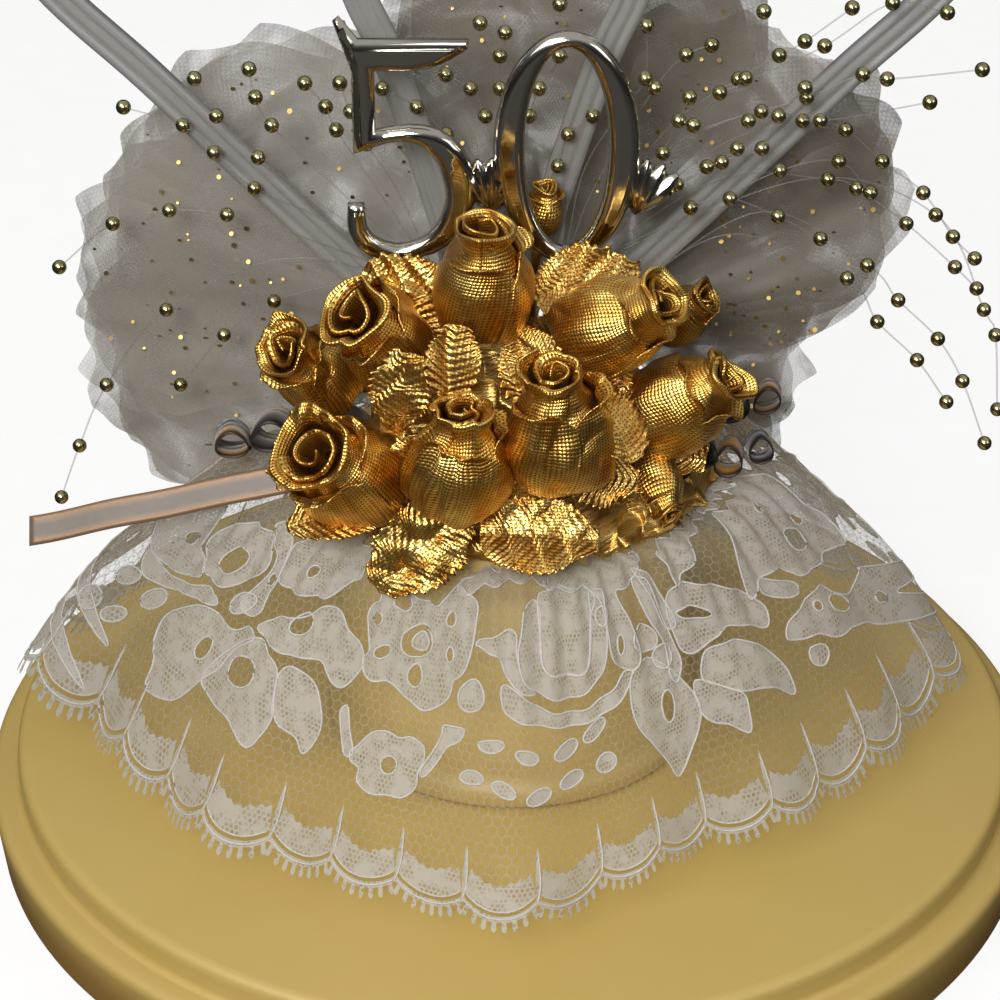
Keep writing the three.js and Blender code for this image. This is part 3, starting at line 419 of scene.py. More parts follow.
COLUMN_OUTLINE = [
    (18.2, 11.3), (21, 11.3), (21, 12.9), (20, 14.5), (18.6, 36), (20, 38.5), (20, 43), (18, 43),
    (18, 38.5), (0.01, 38.5), (0.01, 36.7), (16.8, 36.7), (16.8, 36), (18.2, 14.6), (18.2, 11.3),
]
COLUMN_ROUNDING = [0, 0.4, 0.6, 1, 2, 1, 0.5, 0.5, 0.4, 0, 0, 0.2, 0.2, 0.2, 0]
column = Forms().add(*turned(rounded(COLUMN_OUTLINE, COLUMN_ROUNDING)))
make("moulded_column", column, [cream_ivory_shaded_low], ["column"])
print("base and column:", base.count + column.count, "corners")

# %% [markdown]
# ## The lace skirt: its shape
# The skirt is one strip of machine lace, gathered under the cup's rim and left to fall over the
# base in a cone with a few soft swags. Lace is easiest to draw flat, so everything on it is
# placed by two numbers: how far along the strip, and how far down from the gathered edge, in
# millimetres. One function lays those flat points on the hanging surface.

# %% The hanging surface
LACE_LENGTH, LACE_WIDTH = 288, 42
LACE_TOP_RADIUS, LACE_TOP, LACE_HEM = 20.75, 41.5, 13
LACE_HEM_RADIUS, LACE_FOLD, LACE_FOLDS, LACE_PUFF = 46, 1.2, 16, 3
LACE_GATHER, LACE_GATHERS = 0.8, 60
LACE_HEM_SHARES = [
    1.12, 1.02, 0.965, 0.9, 0.87, 0.91, 0.955, 0.91, 0.89, 0.955, 1, 1.085,
    1.23, 1.06, 1.01, 0.99, 0.935, 0.94, 0.99, 0.885, 0.83, 0.89, 0.945, 1.01,
]


def hem_share(angle):
    """How far the hem reaches at an angle, as a share of its mean radius."""
    steps = np.asarray(angle) / TURN * len(LACE_HEM_SHARES)
    i = np.floor(steps).astype(int)
    near = (np.take(LACE_HEM_SHARES, i + k, mode="wrap") for k in (-1, 0, 1, 2))
    return spline(*near, steps - np.floor(steps))


def hang(along, down):
    """Places on the hanging lace of flat points, in mm."""
    angle = np.asarray(along, float) / LACE_LENGTH * TURN
    t = np.clip(np.asarray(down, float) / LACE_WIDTH, 0, 1.06)
    fold = LACE_FOLD * t * np.cos(LACE_FOLDS * angle)
    r = LACE_TOP_RADIUS + (LACE_HEM_RADIUS * hem_share(angle) - LACE_TOP_RADIUS) * t + fold / 2
    r = r + LACE_GATHER * np.maximum(1 - t, 0) ** 2 * (0.6 + np.sin(LACE_GATHERS * angle))
    drop = t ** (1.2 + 1.2 * np.cos(angle) ** 2)
    puff = LACE_PUFF * np.sin(np.pi * np.minimum(1, 2.2 * t)) * (1 - t)
    z = LACE_TOP + (LACE_HEM - LACE_TOP) * drop + puff + fold * t / 3
    return np.stack([r * np.cos(angle), r * np.sin(angle), z], -1)


LACE_STEP = 0.2


def laid(points, lift=0.0):
    """Flat points laid on the lace, some way out from it."""
    points = np.asarray(points, float)
    here = hang(points[:, 0], points[:, 1])
    across = hang(points[:, 0] + LACE_STEP, points[:, 1]) - here
    down = hang(points[:, 0], points[:, 1] + LACE_STEP) - here
    return here + lift * unit(np.cross(down, across))


# %% [markdown]
# ## The lace skirt: its net
# The ground is bobbinet, a net of six-sided holes about a millimetre across made from hair-fine
# nylon. Modelling each hole would take a million faces, so the ground is a plain sheet and the
# material cuts the holes: the distance to the nearest side of a hexagon decides where thread is and
# where the sheet is clear. The cloth map is in millimetres, so the hole size is a real one.

# %% A net of hexagons
def hexagon_edge(tree, spacing):
    """How near each point is to the side of its hexagon: 0 at the middle, 0.5 on the side."""
    def vector(operation, *values, output=0, **more):
        inputs = {**dict(enumerate(values)), **more}
        return node(tree, "VectorMath", inputs, operation=operation).outputs[output]

    row = math.sqrt(3)
    cells = vector("SCALE", cloth_map(tree), Scale=1 / spacing)
    shares = []
    for shift in ((0.5, row / 2, 0), (0, 0, 0)):
        inside = vector("WRAP", vector("ADD", cells, shift), (1, row, 1), (0, 0, 0))
        size = vector("ABSOLUTE", vector("ADD", inside, (-0.5, -row / 2, 0)))
        slant = vector("DOT_PRODUCT", size, (0.5, row / 2, 0), output="Value")
        shares.append(maths(tree, "MAXIMUM", slant, one_axis(tree, size, "X")))
    return maths(tree, "MINIMUM", *shares)


# %% Bobbinet
NET_SPACING, NET_THREAD = 1.15, 0.17
SHADOW_LOST, GATHER_DEPTH = 0.72, 15


def see_through(tree, thread, colour, cover, glow=0.55):
    """Thin cloth: some light passes between the threads, and some glows through them.

    White thread hands on much of the light that strikes it, so its shadow counts for less.
    """
    shadow = node(tree, "LightPath").outputs["Is Shadow Ray"]
    kept = maths(tree, "MULTIPLY_ADD", shadow, -SHADOW_LOST, 1)
    passing = node(tree, "BsdfTranslucent", {"Color": linear(colour)}).outputs["BSDF"]
    clear = node(tree, "BsdfTransparent").outputs["BSDF"]
    cloth = layered(tree, glow, thread, passing)
    return layered(tree, maths(tree, "MULTIPLY", cover, kept), clear, cloth)


def netting(name, colour, spacing, thread, cover, haze, cloud=0, gathered=0):
    """Hair-fine net, by its cover on a thread and in a hole.

    It clouds over in patches, and its folds pack closer toward the gathers.
    """
    material, tree = new_material(name)
    flat = cloth_map(tree)
    start = 0.5 - thread / spacing / 2
    line = ramp(tree, hexagon_edge(tree, spacing), start - 0.03, start + 0.01)
    patch = noise(tree, flat, 0.16, 4, Roughness=0.6, Distortion=0.8)
    clouds = ramp(tree, patch, 0.35, 0.65, -cloud, cloud)
    clouded = maths(tree, "ADD", ramp(tree, line, start=haze, end=cover), clouds)
    packed = ramp(tree, one_axis(tree, flat, "Y"), 0, GATHER_DEPTH, gathered, 0)
    slant = node(tree, "LayerWeight", {"Blend": 0.3}).outputs["Facing"]
    alpha = maths(
        tree, "MULTIPLY_ADD", maths(tree, "POWER", slant, 2), 0.6,
        maths(tree, "ADD", clouded, packed), use_clamp=True,
    )
    nylon = skin(
        tree, Base_Color=linear(colour), Roughness=0.5, IOR=1.53, Sheen_Weight=0.15,
        Normal=bump(tree, line, 0.4, 0.1),
    )
    return finished(material, see_through(tree, nylon, colour, alpha))


bobbinet = netting("nylon_bobbinet", 0xC0BAAC, NET_SPACING, NET_THREAD, 0.37, 0.06, gathered=0.34)

LACE_HEADING, GROUND_DEPTH, GROUND_STEP = 0.4, 36.8, 0.6
down, along = np.meshgrid(
    np.linspace(LACE_HEADING, GROUND_DEPTH, 40), np.arange(0, LACE_LENGTH + 0.1, GROUND_STEP),
    indexing="ij",
)
flat = np.stack([along, down], -1).reshape(-1, 2)
ground = Forms().add(laid(flat), grid_faces(*down.shape), flat)
lace_ground = make("lace_ground", ground, [bobbinet], ["lace_skirt"])
print("lace ground:", down.shape, "points")

# %% [markdown]
# ## The lace skirt: its flowers
# On the ground the machine packs thread into petals and leaves and runs a heavier outline thread
# round each. So every motif is drawn as an outline with its eyelets, filled with triangles fine
# enough to follow the skirt, and its edges carry a raised cord. The same drawing repeats round the
# back, half a turn away, as a lace pattern does.

# %% Dense lace
def packed_thread(name, colour, shade, spacing):
    """Close stitching: a fine mesh of thread that clouds over where it is packed."""
    material, tree = new_material(name)
    flat = cloth_map(tree)
    mesh = ramp(tree, hexagon_edge(tree, spacing), 0.2, 0.42)
    packed = ramp(tree, noise(tree, flat, 0.5, 3, Roughness=0.6), 0.34, 0.56)
    fill = maths(tree, "MAXIMUM", mesh, packed)
    height = maths(tree, "MULTIPLY_ADD", noise(tree, flat, 4.5, 3), 0.6, fill)
    thread = skin(
        tree, Base_Color=blend(tree, ramp(tree, height, 0.3, 1.25), shade, colour),
        Roughness=0.75, IOR=1.53, Sheen_Weight=0.1, Normal=bump(tree, height, 0.6, 0.12),
    )
    cover = ramp(tree, height, 0.25, 1.2, 0.44, 0.96)
    return finished(material, see_through(tree, thread, colour, cover, 0.5))


STITCH_SPACING = 0.56
stitched = packed_thread("packed_lace_thread", 0xCCC8BF, 0x9E998E, STITCH_SPACING)

# %% Motifs: outlines and eyelets
# Each motif is its outline and then its eyelets, in mm along the strip and down it. Five numbers
# are an oval (its middle, its half sizes and its tilt); more are the corners of a drawn outline.
LACE_MOTIFS = {
    "scroll_flower": [[192, 10.1, 193.8, 8.7, 196.6, 8.4, 198.3, 9.3, 200.3, 9.8, 202.3, 9.6,
        203.4, 8.2, 205.3, 6.3, 207.8, 6.9, 209.2, 8.5, 209.2, 10.7, 208.9, 13.2, 208, 15.4, 206.5,
        16.6, 206.2, 17.9, 205, 19.1, 202.4, 20.2, 199.8, 19.7, 197.9, 18.7, 196.2, 18.8, 194,
        19.4, 192.1, 18.8, 191.6, 17.9, 192.5, 16.7, 191.2, 15.4, 190.3, 14, 190.7, 12.8, 192.1,
        11.8], (196.2, 10.7, 1.89, 1.08, -0.3), (204.9, 11, 0.95, 0.87, -0.2), (205.4, 14.5, 0.76,
        0.75, -0.2), (200.4, 17.3, 1.25, 1.1, -0.2), (194.5, 16.4, 1.32, 0.65, -0.3), (192.5, 13.5,
        0.99, 0.72, -0.3), (200, 14, 2.6, 1.62, -0.2)],
    "scroll_heart": [(200.5, 14, 1.51, 0.93, -0.2)],
    "bead_petal": [(209.5, 17.5, 2.05, 1.47, -0.2)],
    "bud_cup": [[217.7, 8, 219.5, 7.7, 220.6, 9, 220.2, 12.9, 220.7, 15, 222.9, 16, 226.6, 16.6,
        228.4, 15.8, 229.7, 12.1, 230.3, 8.2, 232.2, 8.3, 232, 11.4, 231.4, 15.2, 230.1, 17.5,
        226.7, 18.5, 222.6, 18.1, 219.3, 16.8, 217.4, 15.6, 216.6, 13.3, 217.1, 10.7]],
    "bud_fill": [[221.2, 6.1, 230.3, 8.2, 229.6, 12, 228.2, 15.8, 226.6, 16.5, 222.9, 15.9, 220.8,
        15, 220.4, 13]],
    "bud_crescent": [[214, 16.1, 216.4, 16.5, 218.8, 17.9, 222.9, 19.5, 227.3, 20.2, 231, 19.4,
        233.7, 18.4, 235.4, 18.5, 234, 20.4, 231.5, 21.2, 228.3, 21.8, 224.4, 21.5, 220.2, 20.3,
        216.4, 19.1, 214.4, 18.2]],
    "bud_wing": [[209.5, 12.8, 211.9, 11.6, 216, 10.8, 216.4, 13.1, 217.3, 15.5, 219, 17, 216.4,
        16.3, 214.5, 15, 213.4, 13.4, 211.4, 13]],
    "small_flower": [[194.5, 26.6, 196, 24.8, 198.1, 23.8, 199.9, 24.2, 201.6, 23.6, 203.3, 24.1,
        203.6, 25.7, 203.1, 27, 203.1, 28.7, 201.6, 30.2, 199.6, 30.4, 197.5, 30.8, 195.5, 30.2,
        195.3, 28.9, 194, 28.5, 193.6, 27.6], (199.2, 27.3, 1.08, 1, -0.3)],
    "small_flower_stem_left": [[190.4, 24.4, 191.3, 23.5, 192.6, 25.4, 194, 27.6, 192.9, 28.2,
        191.5, 26.4]],
    "small_flower_stem_right": [[205.8, 21.3, 208.6, 20.9, 208.4, 22.2, 206.6, 23.5, 205.4, 25.6,
        203.9, 27.4, 203.4, 26.6, 204.8, 24.2, 205.6, 22.5]],
    "string_one_1": [(212.8, 22, 1.78, 0.7, -0.1)],
    "string_one_2": [(217.6, 23.2, 1.61, 0.73, 0.4)],
    "string_one_3": [(223.2, 23.8, 1.85, 0.92, -0.1)],
    "string_one_4": [(227.8, 23, 1.97, 0.89, -0.3)],
    "string_two_1": [(210.4, 25.9, 1.65, 0.74, -0.2)],
    "string_two_2": [(214.6, 26.6, 1.6, 0.77, 0.4)],
    "string_two_3": [(219, 27.7, 1.62, 0.81, -0.1)],
    "string_two_4": [(223.6, 27.2, 1.78, 0.84, -0)],
    "string_two_5": [(228.9, 27.1, 1.53, 1.07, 0.1)],
    "gather_stem": [[222.4, 0, 226.6, 0, 232, 0, 236.6, 0, 242, 1.5, 239.7, 9.2, 235.2, 9.6, 236.4,
        13.8, 237.3, 17.4, 235.3, 18.4, 232.3, 16.5, 231.9, 12.6, 231.3, 9.2, 229.1, 7.4, 225.4, 7,
        221.9, 5.3], (231.4, 11.5, 0.91, 1.2, 0.2), (234.3, 15.7, 0.71, 1.04, 0.3)],
    "stem_bead_1": [(238.7, 16.3, 2.39, 1.38, 0.3)],
    "stem_bead_2": [(241.5, 19, 1.78, 1.36, 0.3)],
    "stem_long": [[239.7, 7.8, 241.7, 9, 243.8, 13, 245, 16.1, 244.2, 17, 242.6, 15.7, 241.3,
        12.3]],
    "great_leaf": [[235.7, 18.5, 239.7, 18.7, 243.1, 22, 245.2, 25.9, 244.3, 28.8, 242.3, 30.8,
        239.7, 32.6, 238.4, 30.7, 236.3, 27.6, 234.6, 25, 234.3, 21.8], (240.4, 24.8, 1.05, 1.92,
        0.2)],
    "heading_tuft": [[205.1, 6.6, 208.5, 2.2, 213.1, 0, 223.4, 0, 223, 0, 221.9, 4.8, 218.7, 3.7,
        213.9, 4.2, 209.2, 5.8, 206.3, 7.6]],
    "leaf_high_right": [[272.3, 0, 269.5, 0, 255.4, 6.4, 252.1, 9.9, 248.4, 12, 246.7, 12.6, 246.1,
        9.6, 247.8, 4.5]],
    "leaf_open_right": [[245.2, 12.8, 247.3, 12.6, 251.9, 14.2, 255.8, 16.1, 258.7, 17.8, 260.7,
        20.3, 259.4, 22.6, 256, 20.6, 252.4, 19.3, 250.1, 19.6, 248, 20.3, 245.3, 19.8, 244.5,
        17.6, 244.2, 15.1], (248, 16.2, 2.81, 0.67, 0.3)],
    "leaf_broad_right": [[247.5, 21.3, 250.1, 20.6, 253.7, 21.6, 257, 24, 259.2, 26.9, 259.7, 29,
        259.1, 30.4, 255.9, 28.3, 251.8, 27, 249.4, 25.7, 246.5, 23.7]],
    "leaf_low_right": [[245.5, 23.4, 249.4, 25.8, 251.1, 27.1, 251, 28.9, 250.3, 31, 248.2, 29.5,
        246.3, 28.6, 245.1, 26.9]],
    "rose_right": [[275.9, 5.2, 280, 8.1, 281.4, 11.8, 281.5, 15.6, 283.1, 18.5, 282.3, 22.7,
        280.1, 22.1, 277.7, 21.6, 274.6, 21.7, 269.7, 20.6, 268.3, 19.3, 266.2, 17.8, 262.5, 17.8,
        259.4, 18.7, 259.2, 17.2, 259.8, 14, 260.8, 11, 263, 6.8, 267.1, 7.1], (270.7, 10.5, 1.1,
        1.09, 0.6), (273.6, 17.3, 1.95, 1.44, 0.4), (277.6, 16.4, 1.06, 0.72, 0.4)],
    "tuft_right": [[295.3, 0, 292.6, 0.5, 284.5, 2.1, 275.2, 3.8, 273.5, 2.7, 262.3, 5.4, 266.4,
        1.6, 283.7, 0]],
    "cluster_right": [[263.6, 23.9, 266.4, 23.3, 271.1, 23.1, 273.4, 25.4, 276.7, 27, 280.3, 26.1,
        282.3, 26.5, 296.4, 34.1, 283.4, 30.4, 296.2, 38.2, 279.8, 32.1, 276.8, 30.6, 273, 29.4,
        269, 28.6, 266.5, 27, 263.8, 26.3, 261.9, 25.3], (272.8, 26.4, 2.12, 1.01, 0.5), (268.8,
        24.6, 0.68, 0.65, 0.5), (281, 29.7, 0.98, 0.63, 0.5)],
    "petal_pair_right": [[262, 17.6, 264.9, 18.7, 267.8, 20.8, 267.1, 22.1, 264, 20.8, 261.9,
        19.1]],
    "drop_right": [[264.4, 27.6, 266.5, 28.2, 266.6, 29.3, 265.1, 29.9, 263.9, 29]],
    "stem_right": [[239.1, 9.8, 241.1, 9.7, 242.6, 14.4, 243.9, 17.7, 244.4, 20.9, 242.9, 22.9,
        241.9, 21.4, 242.2, 18.1, 240.2, 14.3]],
    "petal_high_left": [[171.9, 12, 174.3, 9.5, 178.4, 4.9, 181.1, 2.8, 186.1, 6.1, 187.5, 10,
        185.5, 11.7, 183.5, 13.8, 181.5, 14.5, 177, 15.5, 173.9, 15.5, 172.6, 13.5], (179.2, 12.1,
        0.95, 0.77, -0.9)],
    "leaf_broad_left": [[174.3, 21, 176.9, 18.4, 181.2, 16.8, 183.9, 14.6, 186.6, 15.2, 189.6,
        16.5, 191.7, 18, 191.2, 19.8, 189.5, 21.9, 187.1, 21.2, 185, 20.1, 181.5, 21.1, 179.4,
        21.4], (181.1, 17.6, 1.89, 1.07, -0.5)],
    "petal_low_left": [[159.2, 30.2, 158.6, 28.1, 161.3, 25.5, 164.4, 23.6, 167.2, 23.4, 170.4,
        23.4, 172.7, 21.8, 174.7, 22.2, 172.1, 25.1, 171.1, 27.7, 169.5, 29.6, 167.8, 32.1, 166.1,
        33.3, 162.3, 33.9, 161.5, 31.9], (167.5, 27.1, 1.44, 1.08, -1)],
    "leaf_net_left": [[169.4, 29.3, 171.2, 25.5, 174.9, 22, 178.4, 22.2, 180.6, 23.4, 181.9, 26.7,
        182.5, 27.9, 182, 29.8, 180.7, 31.5, 177.1, 30.4, 171.8, 30.3], (175.3, 25.9, 2.55, 1.61,
        -0.2)],
    "leaf_small_left": [[181, 24.1, 181.8, 22.3, 184.1, 22, 186.7, 23.5, 188.4, 25.9, 188.4, 28.1,
        187.3, 29.9, 185.8, 28.7, 182.9, 27.7]],
    "rose_left_ring": [[155.9, 19.7, 156, 17, 160.3, 13.9, 165, 12.4, 169.1, 13.6, 169.8, 16,
        167.3, 18.3, 164.5, 20.7, 160.7, 21.2], (163.2, 17.7, 2.84, 1.57, -0.6)],
    "rose_left_petal": [[147.1, 21.9, 144.9, 18.5, 146.3, 16, 150, 14.3, 153.6, 15.4, 154.5, 17.3,
        155.3, 20.1, 160, 21.6, 156.6, 23.6, 152.4, 24.4, 149.1, 23.6], (152.4, 20.1, 0.94, 1.13,
        -1.1)],
    "rose_left_band": [[149.4, 24, 153, 24.9, 157.9, 24.1, 163.2, 21.8, 165.5, 22.8, 159.6, 24.7,
        154.7, 26.2, 151, 26.6]],
    "rose_left_side": [[166, 11.8, 166.9, 10.4, 170.4, 11, 172.1, 13.7, 173.4, 15.8, 172.7, 17.6,
        173, 19.5, 171.4, 21.1, 168.6, 20.5, 169.9, 17.8, 170.7, 15.6, 169.8, 13.3], (171.8, 16.4,
        0.93, 0.69, -0.2)],
    "garland_left_1": [(149.6, 27.5, 1.48, 1.04, -0.5)],
    "garland_left_2": [(147.5, 31.5, 1.52, 1.18, 2.8)],
    "garland_left_3": [(154.5, 27.9, 2.12, 1.12, -0.5)],
    "garland_left_4": [(151, 31.4, 1.42, 0.79, -0.5)],
    "calyx_left": [(169.1, 20.4, 2.14, 1.31, -0.7)],
}

# %% Filling and outlining a motif
FILL_SPACING, FILL_SHIFT = 0.75, 0.07
CORD_RADIUS, CORD_LIFT, PATCH_LIFT = 0.12, 0.12, 0.09


def oval(along, down, half_length, half_height, tilt, count=14):
    """The outline of a tilted oval, in flat lace."""
    a = np.arange(count) * TURN / count
    x, y = half_length * np.cos(a), half_height * np.sin(a)
    lean, stand = math.sin(tilt), math.cos(tilt)
    return np.stack([along + x * stand - y * lean, down + x * lean + y * stand], -1)


def inside(points, loop):
    """Whether flat points lie inside a closed outline."""
    x, y = points[:, :1], points[:, 1:]
    x1, y1 = loop[:, 0], loop[:, 1]
    x2, y2 = np.roll(x1, -1), np.roll(y1, -1)
    spans = (y1 > y) != (y2 > y)
    cross = x < (x2 - x1) * (y - y1) / np.where(y2 == y1, 1e-9, y2 - y1) + x1
    return (spans & cross).sum(1) % 2 == 1


def on_cloth(points, loops):
    """Whether flat points lie inside the first outline and outside its eyelets."""
    return inside(points, loops[0]) & ~np.any([inside(points, hole) for hole in loops[1:]], axis=0)


def filled(loops, spacing=FILL_SPACING):
    """Triangles between an outline and its eyelets, in flat lace."""
    low, high = loops[0].min(0), loops[0].max(0)
    x, y = np.meshgrid(*(np.arange(low[k], high[k], spacing) for k in (0, 1)))
    within = np.stack([x.ravel(), y.ravel()], -1) + FILL_SHIFT
    edges, count = [], 0
    for loop in loops:
        edges += [(count + k, count + (k + 1) % len(loop)) for k in range(len(loop))]
        count += len(loop)
    corners = np.concatenate([*loops, within[on_cloth(within, loops)]])
    points, _, faces, *_ = delaunay_2d_cdt([Vector(p) for p in corners], edges, [], 0, 1e-5)
    points, faces = np.array([tuple(p) for p in points]), np.array([tuple(f) for f in faces])
    return points, faces[on_cloth(points[faces].mean(1), loops)]


def along_edge(loop, spacing=0.55):
    """The same closed outline as a smooth line of evenly spaced points."""
    length = np.linalg.norm(np.roll(loop, -1, 0) - loop, axis=1).sum()
    return smooth_line(loop, max(10, int(length / spacing)), closed=True)


# %% All the motifs, front and back
REPEATS = (0, LACE_LENGTH / 2)
motifs, cords = Forms(), Forms()
for shapes in LACE_MOTIFS.values():
    loops = [along_edge(oval(*s) if len(s) == 5 else np.reshape(s, (-1, 2))) for s in shapes]
    points, faces = filled(loops)
    for shift in REPEATS:
        placed = points + [shift, 0]
        motifs.add(laid(placed, PATCH_LIFT), faces, placed)
        for loop in loops:
            corners, quads = tube(laid(loop + [shift, 0], CORD_LIFT), CORD_RADIUS, 6, closed=True)
            cords.add(corners, quads)
print("motifs:", motifs.count, "corners; cords:", cords.count)

# %% [markdown]
# ## The lace skirt: its scalloped edge
# The hem is a row of little fans. Each fan is a crescent of packed thread with a ragged top; under
# it an open arc, then a cord that carries picots, the short loops that look like teeth; and a stem
# where two fans meet. One fan is drawn and laid thirty-six times round the hem.

# %% One fan of the edging
FANS = 36
FAN_WIDTH = LACE_LENGTH / FANS
FAN_PHASE = 3 / 360 * LACE_LENGTH
PICOTS, PICOT_WIDTH, PICOT_LENGTH = 8, 0.56, 1.1
# How far down each arc starts and how deep it hangs, in mm.
CRESCENT_TOP, CRESCENT_FOOT, ARC = (35.2, 1.1), (37.6, 1.4), (38.0, 1.4)
ARC_WIDTH, FAN_POINTS = 0.62, 15
STEM = np.array([
    (-0.18, 38.6), (0.18, 38.6), (0.22, 36.5), (0.08, 33.8), (0, 32.9), (-0.08, 33.8),
    (-0.22, 36.5),
])


def arc_depth(x, base, depth):
    """How far down an arc hangs at a share x of the fan's half width."""
    return base + depth * (1 - np.abs(x) ** 2.2)


def fan_loops():
    """The outlines of one fan, centred on 0 along the strip."""
    half = FAN_WIDTH / 2
    x = np.linspace(-1, 1, FAN_POINTS)
    ragged = 0.16 * np.cos(np.pi * np.arange(FAN_POINTS)) + 0.2 * np.sin(5 * x + 1)
    under = np.stack([0.95 * half * x, arc_depth(x, *CRESCENT_FOOT)], -1)
    over = np.stack([0.95 * half * x, arc_depth(x, *CRESCENT_TOP)], -1)[::-1]
    over[:, 1] += ragged
    arc_top = np.stack([half * x, arc_depth(x, *ARC)], -1)
    stem = STEM + [half, 0]
    return (
        np.concatenate([under, over[1:-1]]),
        np.concatenate([arc_top, arc_top[::-1] + [0, ARC_WIDTH]]), stem,
    )


def picot_loops():
    """The picots of one fan: short rounded teeth under the arc, splayed like a fan."""
    loops = []
    for x in (np.arange(PICOTS) + 0.5) / PICOTS * 2 - 1:
        foot = np.array([x * FAN_WIDTH / 2, arc_depth(x, *ARC) + ARC_WIDTH - 0.15])
        lean = np.array([0.35 * x, 1]) / math.hypot(0.35 * x, 1)
        side = np.array([lean[1], -lean[0]]) * PICOT_WIDTH / 2
        tip = foot + PICOT_LENGTH * lean
        blunt, round_off = 0.2 * lean, 0.05 * lean
        loops.append(np.array([
            foot - 0.7 * side, tip - side - blunt, tip - 0.4 * side + round_off,
            tip + 0.4 * side + round_off, tip + side - blunt, foot + 0.7 * side,
        ]))
    return loops


# %% The edging round the hem
EDGE_LIFT, FINE_CORD, FAN_SPACING = 0.1, 0.1, 0.5
edging = Forms()
pieces_of_fan = [filled([loop], FAN_SPACING) for loop in (*fan_loops(), *picot_loops())]
crescent, arc, stem = fan_loops()
stem_line = smooth_line(stem[[4, 2, 0]] + [0.1, 0], 8)
for fan in range(FANS):
    shift = [FAN_PHASE + (fan + 0.5) * FAN_WIDTH, 0]
    for points, faces in pieces_of_fan:
        edging.add(laid(points + shift, EDGE_LIFT), faces, points + shift)
    for line, radius in (
        (crescent[:FAN_POINTS], FINE_CORD), (arc[:FAN_POINTS] + [0, ARC_WIDTH / 2], CORD_RADIUS),
        (stem_line, CORD_RADIUS),
    ):
        cords.add(*tube(laid(line + shift, CORD_LIFT), radius, 5))

lace_motifs = make("lace_motifs", motifs, [stitched], ["lace_skirt"])
lace_edging = make("lace_edging", edging, [stitched], ["lace_skirt"])

# %% [markdown]
# The outline cord is a soft spun thread, thicker than the net's and about a quarter of a millimetre
# across. Its finish roughens it with a fine noise, as its ply does, and adds a low sheen.

# %% Outline cord
def spun_thread(name, colour, shade):
    material, tree = new_material(name)
    ply = noise(tree, position(tree), 3200, 2)
    return finished(material, skin(
        tree, Base_Color=blend(tree, ply, shade, colour), Roughness=0.7, IOR=1.53,
        Sheen_Weight=0.25, Normal=bump(tree, ply, 0.5, 0.06),
    ))


cord_thread = spun_thread("spun_outline_thread", 0xC6C2BA, 0x9E998F)
lace_cords = make("lace_cords", cords, [cord_thread], ["lace_skirt"])
# The strip as cut: as long as the hem, and as wide as the skirt hangs, averaged round it.
print("edging:", edging.count, "corners, cords:", cords.count)

# %% [markdown]
# ## Gold lamé
# Lamé is woven from flat metallised strips over a coloured core, here about three threads to the
# millimetre. Each strip is bright where it rises, and the holes between four crossings are painted
# a dark colour, as the shade in each pin hole, which is why the buds look dotted. The weave is
# drawn on the cloth map: a ripple along each direction, the higher of the two on top, and the
# dark colour where both are low. Slow creases bump the cloth, and its colour follows them as
# painted light: a brighter gold on their rises, a warmer, darker gold in their hollows. It is
# metal, so its colour is in the reflection and the IOR is left alone.

# %% Woven lamé
LAME_SPACING = 0.34


def woven_lame(name, bright, hollow_shade_gold, hole_shade, depth):
    material, tree = new_material(name)
    flat = cloth_map(tree)
    ripples = []
    for axis in "XY":
        turns = maths(tree, "MULTIPLY", one_axis(tree, flat, axis), math.pi / LAME_SPACING)
        ripples.append(maths(tree, "ABSOLUTE", maths(tree, "SINE", turns)))
    # Where both ripples are low the colour goes to the hole colour: painted shade in each pin hole.
    thread = ramp(tree, maths(tree, "MAXIMUM", *ripples), 0.42, 0.8)
    # The creases set the bump and the colour together: a brighter gold on their rises as painted
    # highlight, a warmer, darker gold in their hollows as painted shade.
    crease_and_shade = noise(tree, flat, 0.3, 3, Roughness=0.5)
    metal = blend(tree, ramp(tree, crease_and_shade, 0.35, 0.65), hollow_shade_gold, bright)
    weave = bump(tree, maths(tree, "ADD", *ripples), depth, 0.08)
    return finished(material, skin(
        tree, Base_Color=blend(tree, thread, hole_shade, metal), Metallic=1,
        Roughness=ramp(tree, thread, start=0.55, end=0.3),
        Normal=bump(tree, crease_and_shade, 0.5, 0.6, Normal=weave),
    ))


# Second colour: the darker gold painted into the crease hollows; third: painted shade in the pin
# holes.
bud_lame = woven_lame("woven_gold_lame", 0xECC76E, 0xC48C38, 0x583810, 0.42)
leaf_lame = woven_lame("crimped_gold_lame", 0xEECC7A, 0xC49040, 0x6A4618, 0.22)

# %% [markdown]
# ## Rosebuds
# Each bud is a strip of lamé wound round a wad of stuffing and tied at the foot: a plump body, a
# pinched neck, and a mouth where the folded edge curls outward over a second, tighter curl. The
# body is a sheet wound a little over one turn, so that its free edge stands a hair proud. Two
# short petals lie round it, and the curl inside the mouth is wound about one and a half turns.
# Slow waves keep every bud different. Handwork like this is never quite round.

